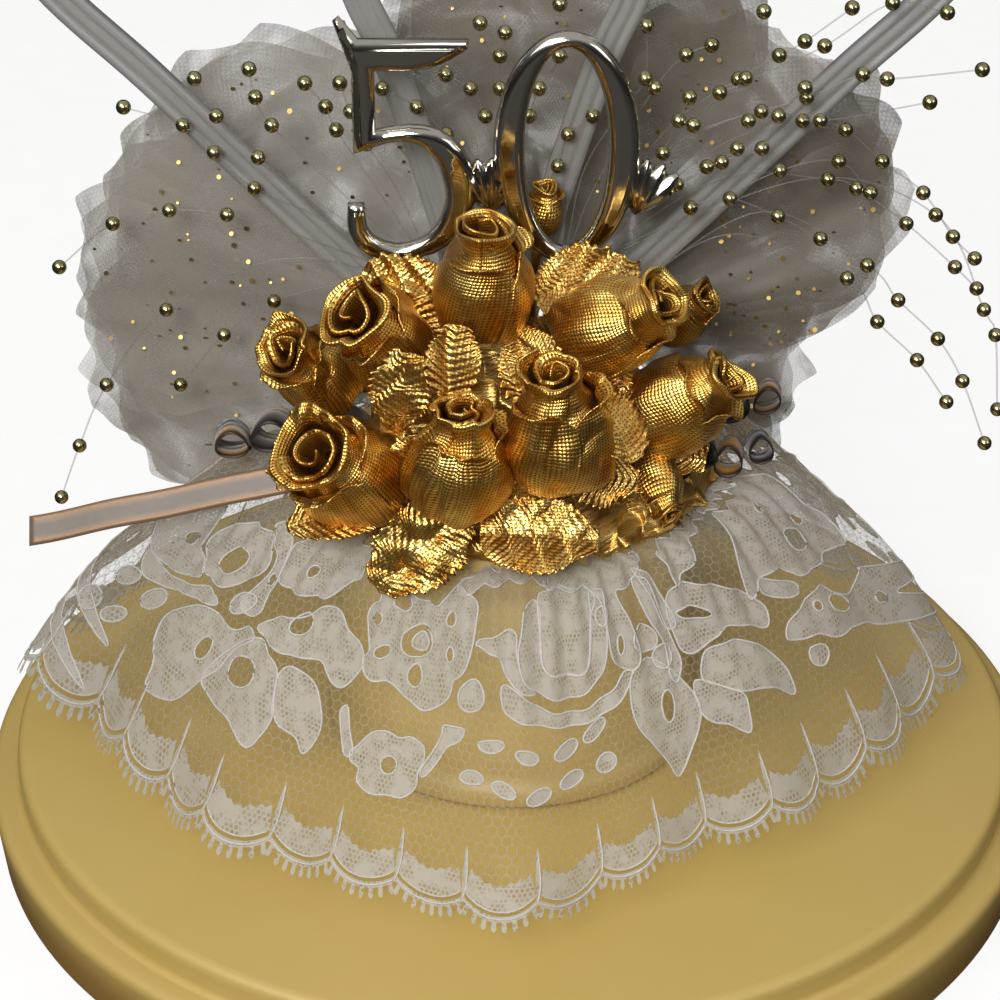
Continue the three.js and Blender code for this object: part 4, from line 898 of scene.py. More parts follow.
# %% How a bud is wound
BUD_RADIUS, BUD_LENGTH, BUD_SLIMMING = 5, 13, 0.94
BUD_PROFILE = [
    (0.16, 0), (0.5, 0.02), (0.8, 0.09), (0.95, 0.24), (0.97, 0.38), (0.9, 0.54), (0.75, 0.68),
    (0.58, 0.78), (0.49, 0.85), (0.47, 0.9), (0.5, 0.95), (0.55, 0.985), (0.6, 0.99), (0.62, 0.965),
    (0.6, 0.94),
]
PETAL_PROFILE = [
    (0.3, 0.02), (0.84, 0.08), (1.0, 0.23), (1.03, 0.38), (0.97, 0.53), (0.84, 0.66), (0.76, 0.74),
    (0.85, 0.79), (1.0, 0.81),
]
CURL_PROFILE = [
    (0.92, 0.7), (0.88, 0.8), (0.9, 0.9), (0.98, 0.96), (1.08, 0.985), (1.16, 0.97), (1.18, 0.94),
]
OPEN_BUDS = ("rosebud_upper_left", "rosebud_lower_left", "rosebud_far_left")
OPENING = 0.28
BODY_TURNS, PETAL_TURNS, CURL_TURNS = 1.16, 0.4, 1.45
BUD_CRUMPLE, BUD_CREASE, BUD_LENGTHWISE, BUD_CLOTH = 0.24, 7, 0.4, 0.18
PETAL_OFFSETS = (-0.8, 1.5)
WRAP_STEP, PETAL_POINT = 0.08, 0.42


def crumpled(corners, amount, span, seed, lengthwise=1):
    """Corners pushed about by creases that run every way, or mostly along Z, in mm."""
    chance = np.random.default_rng(seed)
    runs = chance.normal(size=(7, 3)) * [1, 1, lengthwise] * TURN / span / 1.7
    pushes = chance.normal(size=(7, 3)) * amount / 2
    creases = 1 - 2 * np.abs(np.sin(corners @ runs.T + chance.uniform(0, TURN, 7)))
    return corners + creases @ pushes


def wound(
    profile, rows, columns, start, turns, radius, length, narrowing, step, seed,
    opening=0, pointed=0,
):
    """A sheet wound round an axis: its corners and its cloth map, in mm."""
    fine, knots = smooth_line(profile, 200), np.linspace(0, 1, 200)
    s = np.linspace(0, 1, columns)
    t = np.linspace(0, 1, rows)[:, None] * (1 - pointed * np.abs(2 * s - 1) ** 1.7)
    angle = start + s * turns * TURN
    high = np.interp(t, knots, fine[:, 1])
    rim = np.clip((high - 0.55) / 0.45, 0, 1) ** 2
    uneven = 0.1 * np.sin(angle + 2 * seed) + 0.06 * np.sin(3 * angle + seed)
    r = np.interp(t, knots, fine[:, 0]) * radius * (1 - narrowing * s) * (1 + step * s)
    r = r * (1 + 0.02 * np.sin(3 * angle + seed) + rim * (opening + uneven))
    wave = 0.03 * np.sin(2 * angle + 1.3 * seed) + 0.03 * np.sin(angle + 2.1 * seed)
    z = length * (high + rim * wave)
    angle = angle + 0.5 * high
    corners = np.stack([r * np.cos(angle), r * np.sin(angle), z], -1)
    steps = np.linalg.norm(np.diff(fine * [radius, length], axis=0), axis=1)
    down = np.interp(t, knots, np.concatenate([[0], np.cumsum(steps)]))
    cloth = np.broadcast_arrays(s * turns * TURN * radius * 0.85, down)
    return corners, np.stack(cloth, -1)


def aimed(corners, foot, along, facing):
    """Corners made along +Z and facing +Y, turned and placed."""
    z = unit(np.asarray(along, float))
    x = unit(np.cross(np.asarray(facing, float), z))
    y = np.cross(z, x)
    return np.asarray(foot) + corners @ np.stack([x, y, z])


# %% The buds of the bouquet
# Each bud: its middle in shares of the bouquet, the way its mouth points, and its size.
BOUQUET = np.array([21, -24, 28])
BOUQUET_FOOT = np.array([0, 0, 44])
BUDS = {
    "rosebud_top": ((-0.15, 0.6, 0.98), (0.02, -0.22, 0.97), 1),
    "rosebud_upper_left": ((-0.64, 0.65, 0.77), (-0.45, -0.55, 0.7), 0.93),
    "rosebud_lower_left": ((-0.82, 0.88, 0.33), (-0.42, -0.62, 0.66), 1.1),
    "rosebud_lower_centre": ((-0.26, 1, 0.44), (0.1, -0.2, 0.97), 0.97),
    "rosebud_centre": ((0.2, 1, 0.56), (-0.08, -0.15, 0.98), 1.04),
    "rosebud_upper_right": ((0.48, 0.65, 0.82), (0.75, -0.35, 0.55), 0.97),
    "rosebud_right": ((0.82, 0.68, 0.52), (0.68, -0.3, 0.67), 0.96),
    "rosebud_far_right": ((0.82, 0.28, 0.7), (0.62, -0.4, 0.67), 0.62),
    "rosebud_far_left": ((-1, 0.42, 0.54), (-0.45, -0.5, 0.74), 0.82),
    "rosebud_low_right": ((0.7, 0.85, 0.23), (0.25, -0.8, -0.4), 0.5),
    "rosebud_behind_figure": ((0.14, -0.04, 1), (0.1, -0.2, 0.97), 0.42),
}
WIRE_RADIUS, WIRE_PLACES, FOAM_AIM = 0.55, (-0.2, 3, 6.5), np.array([0, -6.4, 51])

wire_metal, tree = new_material("florists_wire")
rub = node(tree, "TexNoise", {"Scale": 1500, "Detail": 3}).outputs["Fac"]
finished(wire_metal, skin(
    tree, Base_Color=linear(0x9A7A3C), Metallic=1, Roughness=ramp(tree, rub, start=0.3, end=0.55),
))


def wired(forms, foot, finish=1):
    """The wire from a foot into the foam."""
    line = foot + np.outer(WIRE_PLACES, unit(FOAM_AIM - foot))
    forms.add(*tube(line, WIRE_RADIUS, 8), finish=finish)


# %% Winding the buds
for seed, (name, (at, along, size)) in enumerate(BUDS.items()):
    radius, length = BUD_SLIMMING * size * BUD_RADIUS, size * BUD_LENGTH
    foot = BOUQUET_FOOT + np.array(at) * BOUQUET - unit(np.array(along)) * length / 2
    bud, opening = Forms(), OPENING * (name in OPEN_BUDS)
    sheets = [
        (BUD_PROFILE, 60, 96, 1.7 * seed, BODY_TURNS, radius, length, 0, WRAP_STEP, seed, opening),
        (CURL_PROFILE, 18, 76, 1.7 * seed + 2, CURL_TURNS, radius * 0.46, length, 0.72, 0,
         seed + 0.8, opening),
    ]
    for offset in PETAL_OFFSETS:
        start = TURN / 4 + offset + 0.5 * math.sin(3 * seed) - PETAL_TURNS * TURN / 2
        sheets.append((PETAL_PROFILE, 44, 44, start, PETAL_TURNS, radius * 1.05, length, 0, 0,
                       seed + offset, 0, PETAL_POINT))
    for sheet in sheets:
        corners, cloth = wound(*sheet)
        corners = crumpled(corners, BUD_CRUMPLE, BUD_CREASE, seed, BUD_LENGTHWISE)
        bud.add(aimed(corners, foot, along, (0, -1, 0)), grid_faces(*corners.shape[:2]), cloth)
    wired(bud, foot + unit(np.array(along)) * radius / 2)
    make(name + "_lame", bud, [bud_lame, wire_metal], [name], thickness=BUD_CLOTH)
print("rosebuds:", len(BUDS))

# %% [markdown]
# ## Leaves
# The leaves are cut from the same lamé with pinking shears, folded along a rib and crimped, so
# their edges are zigzag and their faces catch light in narrow bright lines. A grid follows the
# leaf's outline; one ripple makes the crimps, which run out from the rib, and the outline moves
# in and out with them for the cut edge. The leaves stand where the picture shows them and aren't
# bent round their neighbours, so several run some way into a bud, where the real ones lie beside
# it.

# %% Crimped leaves
LEAF_LENGTH, LEAF_WIDTH, LEAF_CRUMPLE = 11, 7.8, 0.17
CREASE_SPAN, LEAF_CLOTH = 6, 0.1
CRIMP_SPACING, CRIMP_DEPTH, PINKING = 0.7, 0.19, 0.26
# Each leaf: its foot in shares of the bouquet, the way it points, the way it faces, and its size.
LEAVES = {
    "leaf_flap_right": ((0.32, 0.77, 0.59), (0.55, -0.79, -0.26), (0.5, -0.8, 0.3), 0.86),
    "leaf_centre": ((-0.27, 0.79, 0.86), (-0.12, -0.43, -0.9), (0, -1, 0.2), 0.7),
    "leaf_under_top": ((0, 0.66, 0.78), (0.4, -0.5, -0.76), (0, -1, 0.3), 0.85),
    "leaf_inner_right": ((0.36, 0.64, 0.56), (0.25, -0.15, -0.95), (0.1, -1, 0.2), 0.8),
    "leaf_left": ((-0.49, 0.85, 0.78), (-0.24, -0.18, -0.95), (-0.2, -1, 0.2), 0.8),
    "leaf_inner_left": ((-0.48, 0.84, 0.46), (0.06, -0.25, -0.95), (0, -1, 0.2), 0.8),
    "leaf_between": ((-0.02, 0.92, 0.4), (0.02, -0.15, -0.98), (0, -1, 0.1), 0.75),
    "leaf_left_foot": ((-0.62, 0.79, 0.15), (-0.91, -0.41, 0.06), (-0.1, -0.6, 0.8), 0.9),
    "leaf_front_left": ((-0.25, 0.88, 0.15), (-0.74, -0.4, -0.5), (0.2, -0.8, 0.6), 1.08),
    "leaf_front_right": ((-0.16, 0.99, 0.12), (0.97, -0.2, 0.1), (0, -0.7, 0.72), 1.08),
    "leaf_right_foot": ((0.53, 0.56, 0.31), (0.91, -0.4, -0.07), (0.1, -0.85, 0.5), 0.8),
    "leaf_low_right": ((0.27, 0.81, 0.25), (0.9, -0.33, 0.2), (0, -0.85, 0.5), 0.7),
    "leaf_left_side": ((-0.86, 0.52, 0.34), (-0.75, -0.35, -0.5), (-0.3, -0.9, 0.3), 0.8),
    "leaf_top_left": ((-0.31, 0.44, 0.79), (-0.92, 0.16, 0.36), (-0.2, -0.8, 0.55), 0.88),
    "leaf_top_right": ((0.09, 0.44, 0.83), (0.97, 0.09, 0.24), (0.2, -0.8, 0.55), 1),
    "leaf_upper_left": ((-0.31, 0.54, 0.67), (-0.79, 0.2, 0.59), (-0.1, -0.95, 0.3), 0.7),
    "leaf_upper_right": ((0.03, 0.46, 0.61), (0.76, 0.08, 0.64), (0.1, -0.95, 0.3), 0.58),
    "leaf_mid_right": ((0.46, 0.67, 0.43), (0.17, 0.27, 0.95), (0.1, -1, 0.2), 0.55),
}


# %% Shaping a leaf
def crimped_leaf(length, width, seed, rows=84, columns=29):
    """A pinked, crimped leaf along +Z that faces +Y: its corners and its cloth map."""
    u, v = np.meshgrid(np.linspace(0, 1, rows), np.linspace(-1, 1, columns), indexing="ij")
    side = np.abs(v)
    half = width / 2 * (0.18 + 0.82 * np.sin(np.pi * np.minimum(0.97, 0.1 + 0.87 * u)))
    crimps = u * length / CRIMP_SPACING
    crimp = np.abs((crimps + 0.55 * side * half / CRIMP_SPACING) % 1 - 0.5) * 4 - 1
    edge = side**6
    x = v * (half + PINKING * crimp * edge)
    lift = 0.22 * half * side - 0.18 * length * u**2
    ruffle = 0.5 * side**2 * np.sin(1.2 * crimps + seed + np.sign(v))
    y = lift + CRIMP_DEPTH * crimp * (0.3 + 0.7 * side) + 0.35 * ruffle
    z = u * length + 0.4 * edge * np.sin(3 * u * np.pi + seed)
    cloth = np.stack([v * half, u * length], -1)
    return crumpled(np.stack([x, y, z], -1), LEAF_CRUMPLE, CREASE_SPAN, seed), cloth


# %% All the leaves
for seed, (name, (at, along, facing, size)) in enumerate(LEAVES.items()):
    foot = BOUQUET_FOOT + np.array(at) * BOUQUET
    corners, cloth = crimped_leaf(size * LEAF_LENGTH, size * LEAF_WIDTH, seed)
    leaf = Forms().add(aimed(corners, foot, along, facing), grid_faces(*corners.shape[:2]), cloth)
    wired(leaf, foot)
    make(name + "_lame", leaf, [leaf_lame, wire_metal], [name], thickness=LEAF_CLOTH)
print("leaves:", len(LEAVES))

# %% [markdown]
# More crumpled lamé is packed between the flowers, so no foam shows from the front. It lies over
# the front of the foam, and its pinked edge stands out over the cup's rim where the lace begins.
# One surface follows the foam's dome, leans out to the rim and drops a little over it, and then
# it is crumpled.

# %% Lamé packed round the foam
FOAM_HALF_WIDTH, FOAM_HALF_DEPTH, FOAM_FORWARD = 14.994, 10.206, 6.408
FOAM_SHOULDER, FOAM_DOME = 47, 14
RIM_RADIUS, RIM_HEIGHT, PACKING_GAP, PACKING_CRUMPLE = 20, 43, 0.9, 0.4
# Shares of the way out at which the dome ends and the cloth reaches the rim.
DOME_END, RIM_START = 0.55, 0.88

q, theta = np.meshgrid(
    np.linspace(0, 1, 90), np.linspace(math.pi - 0.2, TURN + 0.2, 260), indexing="ij",
)
climb = np.clip(1 - q / DOME_END, 0, 1) * TURN / 4 * 0.97
outward = np.clip((q - DOME_END) / (RIM_START - DOME_END), 0, 1)[..., None]
over = np.clip((q - RIM_START) / (1 - RIM_START), 0, 1)
dome = np.stack([
    (FOAM_HALF_WIDTH + PACKING_GAP) * np.cos(climb) * np.cos(theta),
    (FOAM_HALF_DEPTH + PACKING_GAP) * np.cos(climb) * np.sin(theta) - FOAM_FORWARD,
    FOAM_SHOULDER + (FOAM_DOME + PACKING_GAP) * np.sin(climb),
], -1)
ruffle = 0.7 * np.sin(23 * theta) + 0.4 * np.sin(41 * theta + 1)
pinked = np.abs((theta * 30) % 1 - 0.5)
radius = RIM_RADIUS + 0.6 + over * (1.2 + 0.7 * ruffle + 0.3 * pinked)
rim_height = RIM_HEIGHT + 1.2 - 1.6 * over + 0.5 * over * ruffle
rim = np.stack([radius * np.cos(theta), radius * np.sin(theta), rim_height], -1)
cloth = np.stack([theta * RIM_RADIUS * (0.3 + 0.7 * q), q * 32], -1)
corners = crumpled(dome * (1 - outward) + rim * outward, PACKING_CRUMPLE, CREASE_SPAN, 5)
packing = Forms().add(corners, grid_faces(*q.shape), cloth)
make("lame_packing", packing, [leaf_lame], [], thickness=LEAF_CLOTH)
print("packing:", packing.count, "corners")

# %% [markdown]
# ## The figure 50
# The figure is a zinc or styrene moulding with a bright plated skin. Its strokes are flat strips
# with rounded shoulders, which is why each one carries a thin bright line beside a dark one. A
# flat outline with a bevel makes exactly that. Between the figures and beside the nought stands a
# sprig of small moulded leaves, each with a ridge down its middle.

# %% Bright nickel plating
def bright_plating(name, colour, roughness):
    material, tree = new_material(name)
    place = position(tree)
    return finished(material, skin(
        tree, Base_Color=linear(colour), Metallic=1,
        Roughness=ramp(tree, noise(tree, place, 130, 4), 0.4, 0.75, roughness, 3 * roughness),
        Normal=bump(tree, noise(tree, place, 420, 2), 0.25, 0.1),
    ))


nickel = bright_plating("bright_nickel_plating", 0xC8C2B6, 0.06)

# %% Outlines of the figure, in shares of its size
FIGURE_WIDTH, FIGURE_HEIGHT = 24.2, 25.8
FIGURE_LEFT, FIGURE_FORWARD, FIGURE_FOOT = -16.94, 4, 68.1
FIGURE_HALF_DEPTH, FIGURE_BEVEL, BEVEL_STEPS = 1.05, 1.0, 8
FIVE_EDGES = [
    [(-0.04, 1)], [(-0.015, 1.02)], [(0.06, 0.93)], [(0.51, 0.93)],
    [(0.51, 0.89), (0.4, 0.83), (0.28, 0.8), (0.125, 0.8)],
    [(0.125, 0.8)],
    [(0.125, 0.56), (0.27, 0.58), (0.4, 0.555), (0.5, 0.46), (0.54, 0.3), (0.49, 0.14),
     (0.37, 0.04), (0.2, 0)],
    [(0.2, 0), (0.07, 0.03), (0, 0.13), (0, 0.25)],
    [(0, 0.25)],
    [(0.07, 0.25), (0.09, 0.13), (0.2, 0.075), (0.32, 0.11), (0.39, 0.2), (0.41, 0.3),
     (0.38, 0.42)],
    [(0.38, 0.42), (0.31, 0.49), (0.2, 0.51), (0.03, 0.46)],
    [(0.03, 0.46)], [(0.03, 0.8)],
]
ZERO_CENTRE, ZERO_OUTER, ZERO_INNER = (0.915, 0.48), (0.305, 0.48), (0.175, 0.415)

five = np.concatenate([
    smooth_line(edge, 16)[:-1] if len(edge) > 1 else np.array(edge) for edge in FIVE_EDGES
])
around = np.arange(96) * TURN / 96
ring = np.stack([np.cos(around), np.sin(around)], -1)
nought = [ring * size + ZERO_CENTRE for size in (ZERO_OUTER, ZERO_INNER)]


# %% Rounded shoulders
def bevelled(outlines, half_depth, bevel):
    """A flat outline with rounded shoulders, as corners and faces. It lies in XY."""
    flat = bpy.data.curves.new("outline", "CURVE")
    flat.dimensions, flat.fill_mode = "2D", "BOTH"
    for outline in outlines:
        spline = flat.splines.new("POLY")
        spline.points.add(len(outline) - 1)
        spline.points.foreach_set("co", np.pad(outline, ((0, 0), (0, 2))).ravel())
        spline.use_cyclic_u = True
    flat.extrude, flat.bevel_depth, flat.offset = half_depth - bevel, bevel, -bevel
    flat.bevel_resolution = BEVEL_STEPS
    holder = bpy.data.objects.new("outline", flat)
    mesh = bpy.data.meshes.new_from_object(holder)
    corners = np.array([v.co[:] for v in mesh.vertices])
    faces = [list(p.vertices) for p in mesh.polygons]
    bpy.data.objects.remove(holder)
    bpy.data.meshes.remove(mesh)
    bpy.data.curves.remove(flat)
    return corners, faces


# %% Sprigs
SPRIG_LENGTH, SPRIG_WIDTH = 6.3, 2.4
RIDGED_SECTION = np.array([
    (-1, 0), (-0.55, -0.42), (-0.12, -0.9), (0, -1), (0.12, -0.9), (0.55, -0.42), (1, 0), (0, 0.8),
])
# Each sprig: its foot in shares of the figure, how many leaves, their spread and their lean.
SPRIGS = [((0.6, 0.2), 5, 0.5, 0.02), ((1.2, 0.2), 4, 0.42, 0.35)]


def swept(line, section, facing=(0, 1, 0)):
    """A closed section carried along a line. Its second axis keeps to one facing, in mm."""
    along = unit(np.gradient(line, axis=0))
    across = unit(np.cross(along, facing))
    section = np.broadcast_to(section, (len(line), *np.shape(section)[-2:]))
    rings = line[:, None] + section[..., :1] * across[:, None]
    rings = rings + section[..., 1:] * np.asarray(facing, float)
    return rings.reshape(-1, 3), grid_faces(len(line), section.shape[1], wrapped=True)


def ridged_leaf(foot, angle, length, width, depth):
    """A small moulded leaf with a ridge down its front, leaning right by an angle."""
    u = np.linspace(0.02, 0.98, 18)
    along = np.array([math.sin(angle), 0, math.cos(angle)])
    line = np.asarray(foot, float) + u[:, None] * length * along
    wide = width / 2 * np.sin(np.pi * u ** 1.3) ** 0.65
    deep = depth * np.sin(np.pi * u) ** 0.5
    return swept(line, RIDGED_SECTION * np.stack([wide, deep], -1)[:, None])


# %% The whole figure
figure = Forms()
for outlines in ([five], nought):
    sized = [line * [FIGURE_WIDTH, FIGURE_HEIGHT] for line in outlines]
    flat, faces = bevelled(sized, FIGURE_HALF_DEPTH, FIGURE_BEVEL)
    x, y, z = flat[:, 0] + FIGURE_LEFT, -flat[:, 2] - FIGURE_FORWARD, flat[:, 1] + FIGURE_FOOT
    figure.add(np.stack([x, y, z], -1), faces)
for (x, z), count, spread, lean in SPRIGS:
    foot = (FIGURE_LEFT + x * FIGURE_WIDTH, -FIGURE_FORWARD, FIGURE_FOOT + z * FIGURE_HEIGHT)
    for share in np.linspace(-1, 1, count):
        size = (SPRIG_LENGTH, SPRIG_WIDTH, FIGURE_HALF_DEPTH)
        figure.add(*ridged_leaf(foot, lean + spread * share, *size))
PICK_RADIUS, PICK_LENGTH, PICK_RISE = 0.9, 18.5, 5.7
pick_top = np.array([
    FIGURE_LEFT + SPRIGS[0][0][0] * FIGURE_WIDTH, -FIGURE_FORWARD, FIGURE_FOOT + PICK_RISE,
])
pick_end = pick_top + PICK_LENGTH * unit(FOAM_AIM - pick_top)
figure.add(*tube(np.linspace(pick_top, pick_end, 6), PICK_RADIUS, 16))
make("plated_figure_50", figure, [nickel], ["figure_50"])
print("figure 50:", figure.count, "corners")

# %% [markdown]
# ## The heart
# The heart is one clear styrene rod, bent hot round a former. Its front is fluted, so it shows
# several bright lines instead of one. The section is swept along each lobe. Clear styrene has an
# IOR of 1.59 and lets the light through; faint flow lines from the mould roughen it a little.

# %% Clear fluted styrene
def clear_plastic(name, tint, roughness, clear, cover, ior):
    material, tree = new_material(name)
    flow = noise(tree, position(tree), 260, 3)
    return finished(material, skin(
        tree, Base_Color=linear(tint), Roughness=ramp(tree, flow, 0, 1, roughness, 2.5 * roughness),
        IOR=ior, Transmission_Weight=clear, Alpha=cover, Normal=bump(tree, flow, 0.3, 0.2),
    ))


styrene = clear_plastic("clear_fluted_styrene", 0x9C9A95, 0.12, 0.3, 0.86, 1.59)

# %% Heart lobes and foot
HEART_LOBE = [
    (0.02, 0), (0.16, 0.1), (0.385, 0.245), (0.62, 0.4), (0.8, 0.515), (0.93, 0.65), (0.97, 0.79),
    (0.89, 0.92), (0.72, 0.985), (0.54, 0.95), (0.42, 0.83), (0.33, 0.68), (0.25, 0.51),
    (0.19, 0.42), (0.1, 0.24), (0.03, 0.06),
]
HEART_SPAN, HEART_RISE, HEART_BACK, HEART_MIDDLE = 57, 92, 5.9, -1.9
FOOT_WIDE, FOOT_DEEP, FOOT_LOW, FOOT_HIGH = 9, 2.8, 38.8, 50.8
FOOT_ROUND, FOOT_CHAMFER = 0.5, 0.4
ROD_WIDTH, ROD_DEPTH = 3.4, 2.4
FLUTES = [
    (-0.5, -0.3), (-0.4, -0.46), (-0.3, -0.48), (-0.2, -0.36), (-0.1, -0.42), (0, -0.46),
    (0.1, -0.42), (0.2, -0.36), (0.3, -0.48), (0.4, -0.46), (0.5, -0.3), (0.49, 0.1), (0.42, 0.42),
    (0.2, 0.5), (-0.2, 0.5), (-0.42, 0.42), (-0.49, 0.1),
]
heart = Forms()
flutes = smooth_line(FLUTES, 68, closed=True) * [ROD_WIDTH, ROD_DEPTH]
x, z = smooth_line(HEART_LOBE, 150).T
for side in (-1, 1):
    lobe = np.stack([
        side * x * HEART_SPAN + HEART_MIDDLE, np.full_like(x, HEART_BACK),
        FOOT_HIGH - ROD_WIDTH + z * HEART_RISE,
    ], -1)
    heart.add(*swept(lobe, flutes))
angles = (np.linspace(0, 1, 5) + np.arange(4)[:, None]) * TURN / 4
signs = np.array([(1, 1), (-1, 1), (-1, -1), (1, -1)])[:, None]
arcs = np.stack([np.cos(angles), np.sin(angles)], -1) * FOOT_ROUND
section = (arcs + signs * (np.array([FOOT_WIDE, FOOT_DEEP]) / 2 - FOOT_ROUND)).reshape(-1, 2)
rise = np.array([
    FOOT_LOW, FOOT_LOW, FOOT_LOW + FOOT_CHAMFER, FOOT_HIGH - FOOT_CHAMFER, FOOT_HIGH, FOOT_HIGH,
])
inset = np.array([0.02, 0.92, 1, 1, 0.92, 0.02])
block = np.stack([
    np.outer(inset, section[:, 0]) + HEART_MIDDLE, np.outer(inset, section[:, 1]) + HEART_BACK,
    np.repeat(rise[:, None], len(section), 1),
], -1)
heart.add(block, grid_faces(len(rise), len(section), wrapped=True))
make("fluted_heart", heart, [styrene], ["heart_frame"])
print("heart:", heart.count, "corners")

# %% [markdown]
# ## The foam
# Under the flowers sits a block of dry floral foam, which holds every wire. Its solid is already
# the right shape, so only its finish is made here: a brown, dusty, open-celled foam with no
# shine. Its dark brown is the foam's own and also painted shade for the gaps between the flowers,
# and the pits of its cells are painted darker still, as the shade inside them.

# %% Dry foam
dry_foam, tree = new_material("dry_floral_foam")
cells = node(tree, "TexVoronoi", {"Vector": position(tree), "Scale": 1400})
# The cell pits are painted the darker brown, as painted shade inside the cells.
pit_and_shade = ramp(tree, cells.outputs["Distance"], 0, 0.6)
finished(dry_foam, skin(
    tree, Base_Color=blend(tree, pit_and_shade, 0x3A2812, 0x7A5A2C), Roughness=0.95, IOR=1.4,
    Normal=bump(tree, pit_and_shade, 0.8, 0.3),
))
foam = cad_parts["foam_block"]
foam.data.materials.clear()
foam.data.materials.append(dry_foam)

# %% [markdown]
# ## Bead sprays
# Each spray is a bunch of clear nylon filaments with plated glass beads glued at intervals. A
# bead is round and a little flat where the filament enters and leaves. The strand is a smooth
# line through its beads, and each bead is turned about that line.

# %% Filament and beads
def bead_plating(name, bright, deep, roughness):
    material, tree = new_material(name)
    patch = noise(tree, position(tree), 240, 2)
    return finished(material, skin(
        tree, Base_Color=blend(tree, patch, deep, bright), Metallic=1,
        Roughness=ramp(tree, patch, start=roughness, end=roughness + 0.14),
    ))


bead_gold = bead_plating("olive_gold_bead_plating", 0xCDC69A, 0x8C8354, 0.13)
nylon = clear_plastic("clear_nylon_filament", 0x8E8C87, 0.15, 0.5, 0.26, 1.53)

BEAD_RADIUS, FILAMENT_RADIUS, SPRAY_REACH = 0.78, 0.1, 50
SPRAY_FRONT, SPRAY_PITCH = 1.65, 2.45
BEAD_PROFILE = [
    (0.16, -0.98), (0.5, -0.86), (0.84, -0.54), (1, 0), (0.84, 0.54), (0.5, 0.86), (0.16, 0.98),
]
BEAD_SIDES, STRAND_STEPS = 14, 12
# %% Where the strands run
# Each spray: its lane from the front, its root, then each strand's bend and beads.
SPRAYS = {
    "bead_spray_right_drooping": (0, (0.21, 0.37), [
        [(0.29, 0.5), (0.36, 0.58), (0.44, 0.6), (0.54, 0.56), (0.63, 0.51)],
        [(0.5, 0.57), (0.73, 0.45), (0.8, 0.37), (0.89, 0.28), (0.95, 0.18), (1.01, 0.03)],
        [(0.44, 0.52), (0.69, 0.42), (0.76, 0.32), (0.85, 0.23), (0.92, 0.13)],
    ]),
    "bead_spray_right": (2, (0.14, 0.4), [
        [(0.42, 0.6), (0.65, 0.6), (0.71, 0.58), (0.82, 0.5), (0.93, 0.4), (0.98, 0.35)],
        [(0.4, 0.66), (0.59, 0.73), (0.68, 0.71), (0.76, 0.64), (0.85, 0.57), (0.92, 0.47),
         (0.97, 0.42)],
        [(0.6, 0.6), (0.88, 0.52), (1.0, 0.3), (1.03, 0.24), (1.05, 0.06)],
        [(0.36, 0.52), (0.55, 0.62), (0.67, 0.64), (0.74, 0.57)],
    ]),
    "bead_spray_upper_right": (1, (0.1, 0.42), [
        [(0.34, 0.7), (0.59, 0.8), (0.7, 0.85), (0.75, 0.84), (0.94, 0.86)],
        [(0.3, 0.68), (0.5, 0.77), (0.62, 0.75), (0.84, 0.79)],
        [(0.3, 0.72), (0.45, 0.84), (0.53, 0.89), (0.58, 0.92), (0.67, 0.99)],
        [(0.4, 0.78), (0.62, 0.91), (0.75, 1.0), (0.86, 0.98)],
    ]),
    "bead_spray_middle_right": (0, (0.1, 0.44), [
        [(0.24, 0.6), (0.36, 0.76), (0.41, 0.83), (0.46, 0.86), (0.49, 1.0)],
        [(0.16, 0.62), (0.28, 0.84), (0.34, 0.91), (0.39, 0.93)],
        [(0.14, 0.66), (0.22, 0.8), (0.26, 0.86), (0.26, 0.97)],
        [(0.18, 0.54), (0.28, 0.64), (0.3, 0.7), (0.33, 0.77), (0.35, 0.82)],
        [(0.22, 0.56), (0.33, 0.63), (0.39, 0.67), (0.45, 0.71), (0.47, 0.77)],
        [(0.24, 0.57), (0.42, 0.68), (0.5, 0.71), (0.53, 0.78), (0.58, 0.84)],
    ]),
    "bead_spray_middle": (2, (-0.02, 0.44), [
        [(-0.04, 0.64), (-0.06, 0.74), (-0.09, 0.8), (-0.14, 0.83), (-0.2, 0.88)],
        [(-0.02, 0.66), (-0.03, 0.8), (-0.03, 0.87), (-0.02, 0.92), (-0.07, 0.94)],
        [(0.02, 0.66), (0.03, 0.74), (0.05, 0.8), (0.09, 0.87), (0.09, 0.98)],
        [(0.04, 0.56), (0.09, 0.63), (0.11, 0.7), (0.16, 0.74)],
        [(-0.08, 0.62), (-0.14, 0.7), (-0.2, 0.76), (-0.27, 0.8)],
    ]),
    "bead_spray_upper_left": (0, (-0.16, 0.42), [
        [(-0.34, 0.6), (-0.49, 0.76), (-0.52, 0.82), (-0.53, 0.88)],
        [(-0.36, 0.56), (-0.52, 0.69), (-0.6, 0.78), (-0.64, 0.86)],
        [(-0.28, 0.62), (-0.36, 0.75), (-0.38, 0.8), (-0.42, 0.85)],
        [(-0.24, 0.62), (-0.3, 0.72), (-0.33, 0.79), (-0.35, 0.85)],
    ]),
    "bead_spray_left": (2, (-0.18, 0.36), [
        [(-0.48, 0.42), (-0.74, 0.3), (-0.88, 0.12), (-0.95, -0.03), (-1.0, -0.16)],
        [(-0.42, 0.46), (-0.6, 0.52), (-0.72, 0.53), (-0.84, 0.5), (-0.96, 0.4)],
        [(-0.38, 0.5), (-0.54, 0.58), (-0.62, 0.66), (-0.68, 0.72), (-0.8, 0.76)],
        [(-0.36, 0.36), (-0.51, 0.32), (-0.62, 0.24), (-0.72, 0.12)],
    ]),
}

# %% Stringing the beads
def spray_places(lane, points):
    """Places in mm of points in a spray's lane, given as shares of its reach."""
    x, z = np.array(points, float).T * SPRAY_REACH
    return np.stack([x, np.full_like(x, lane * SPRAY_PITCH - SPRAY_FRONT), BOUQUET_FOOT[2] + z], -1)


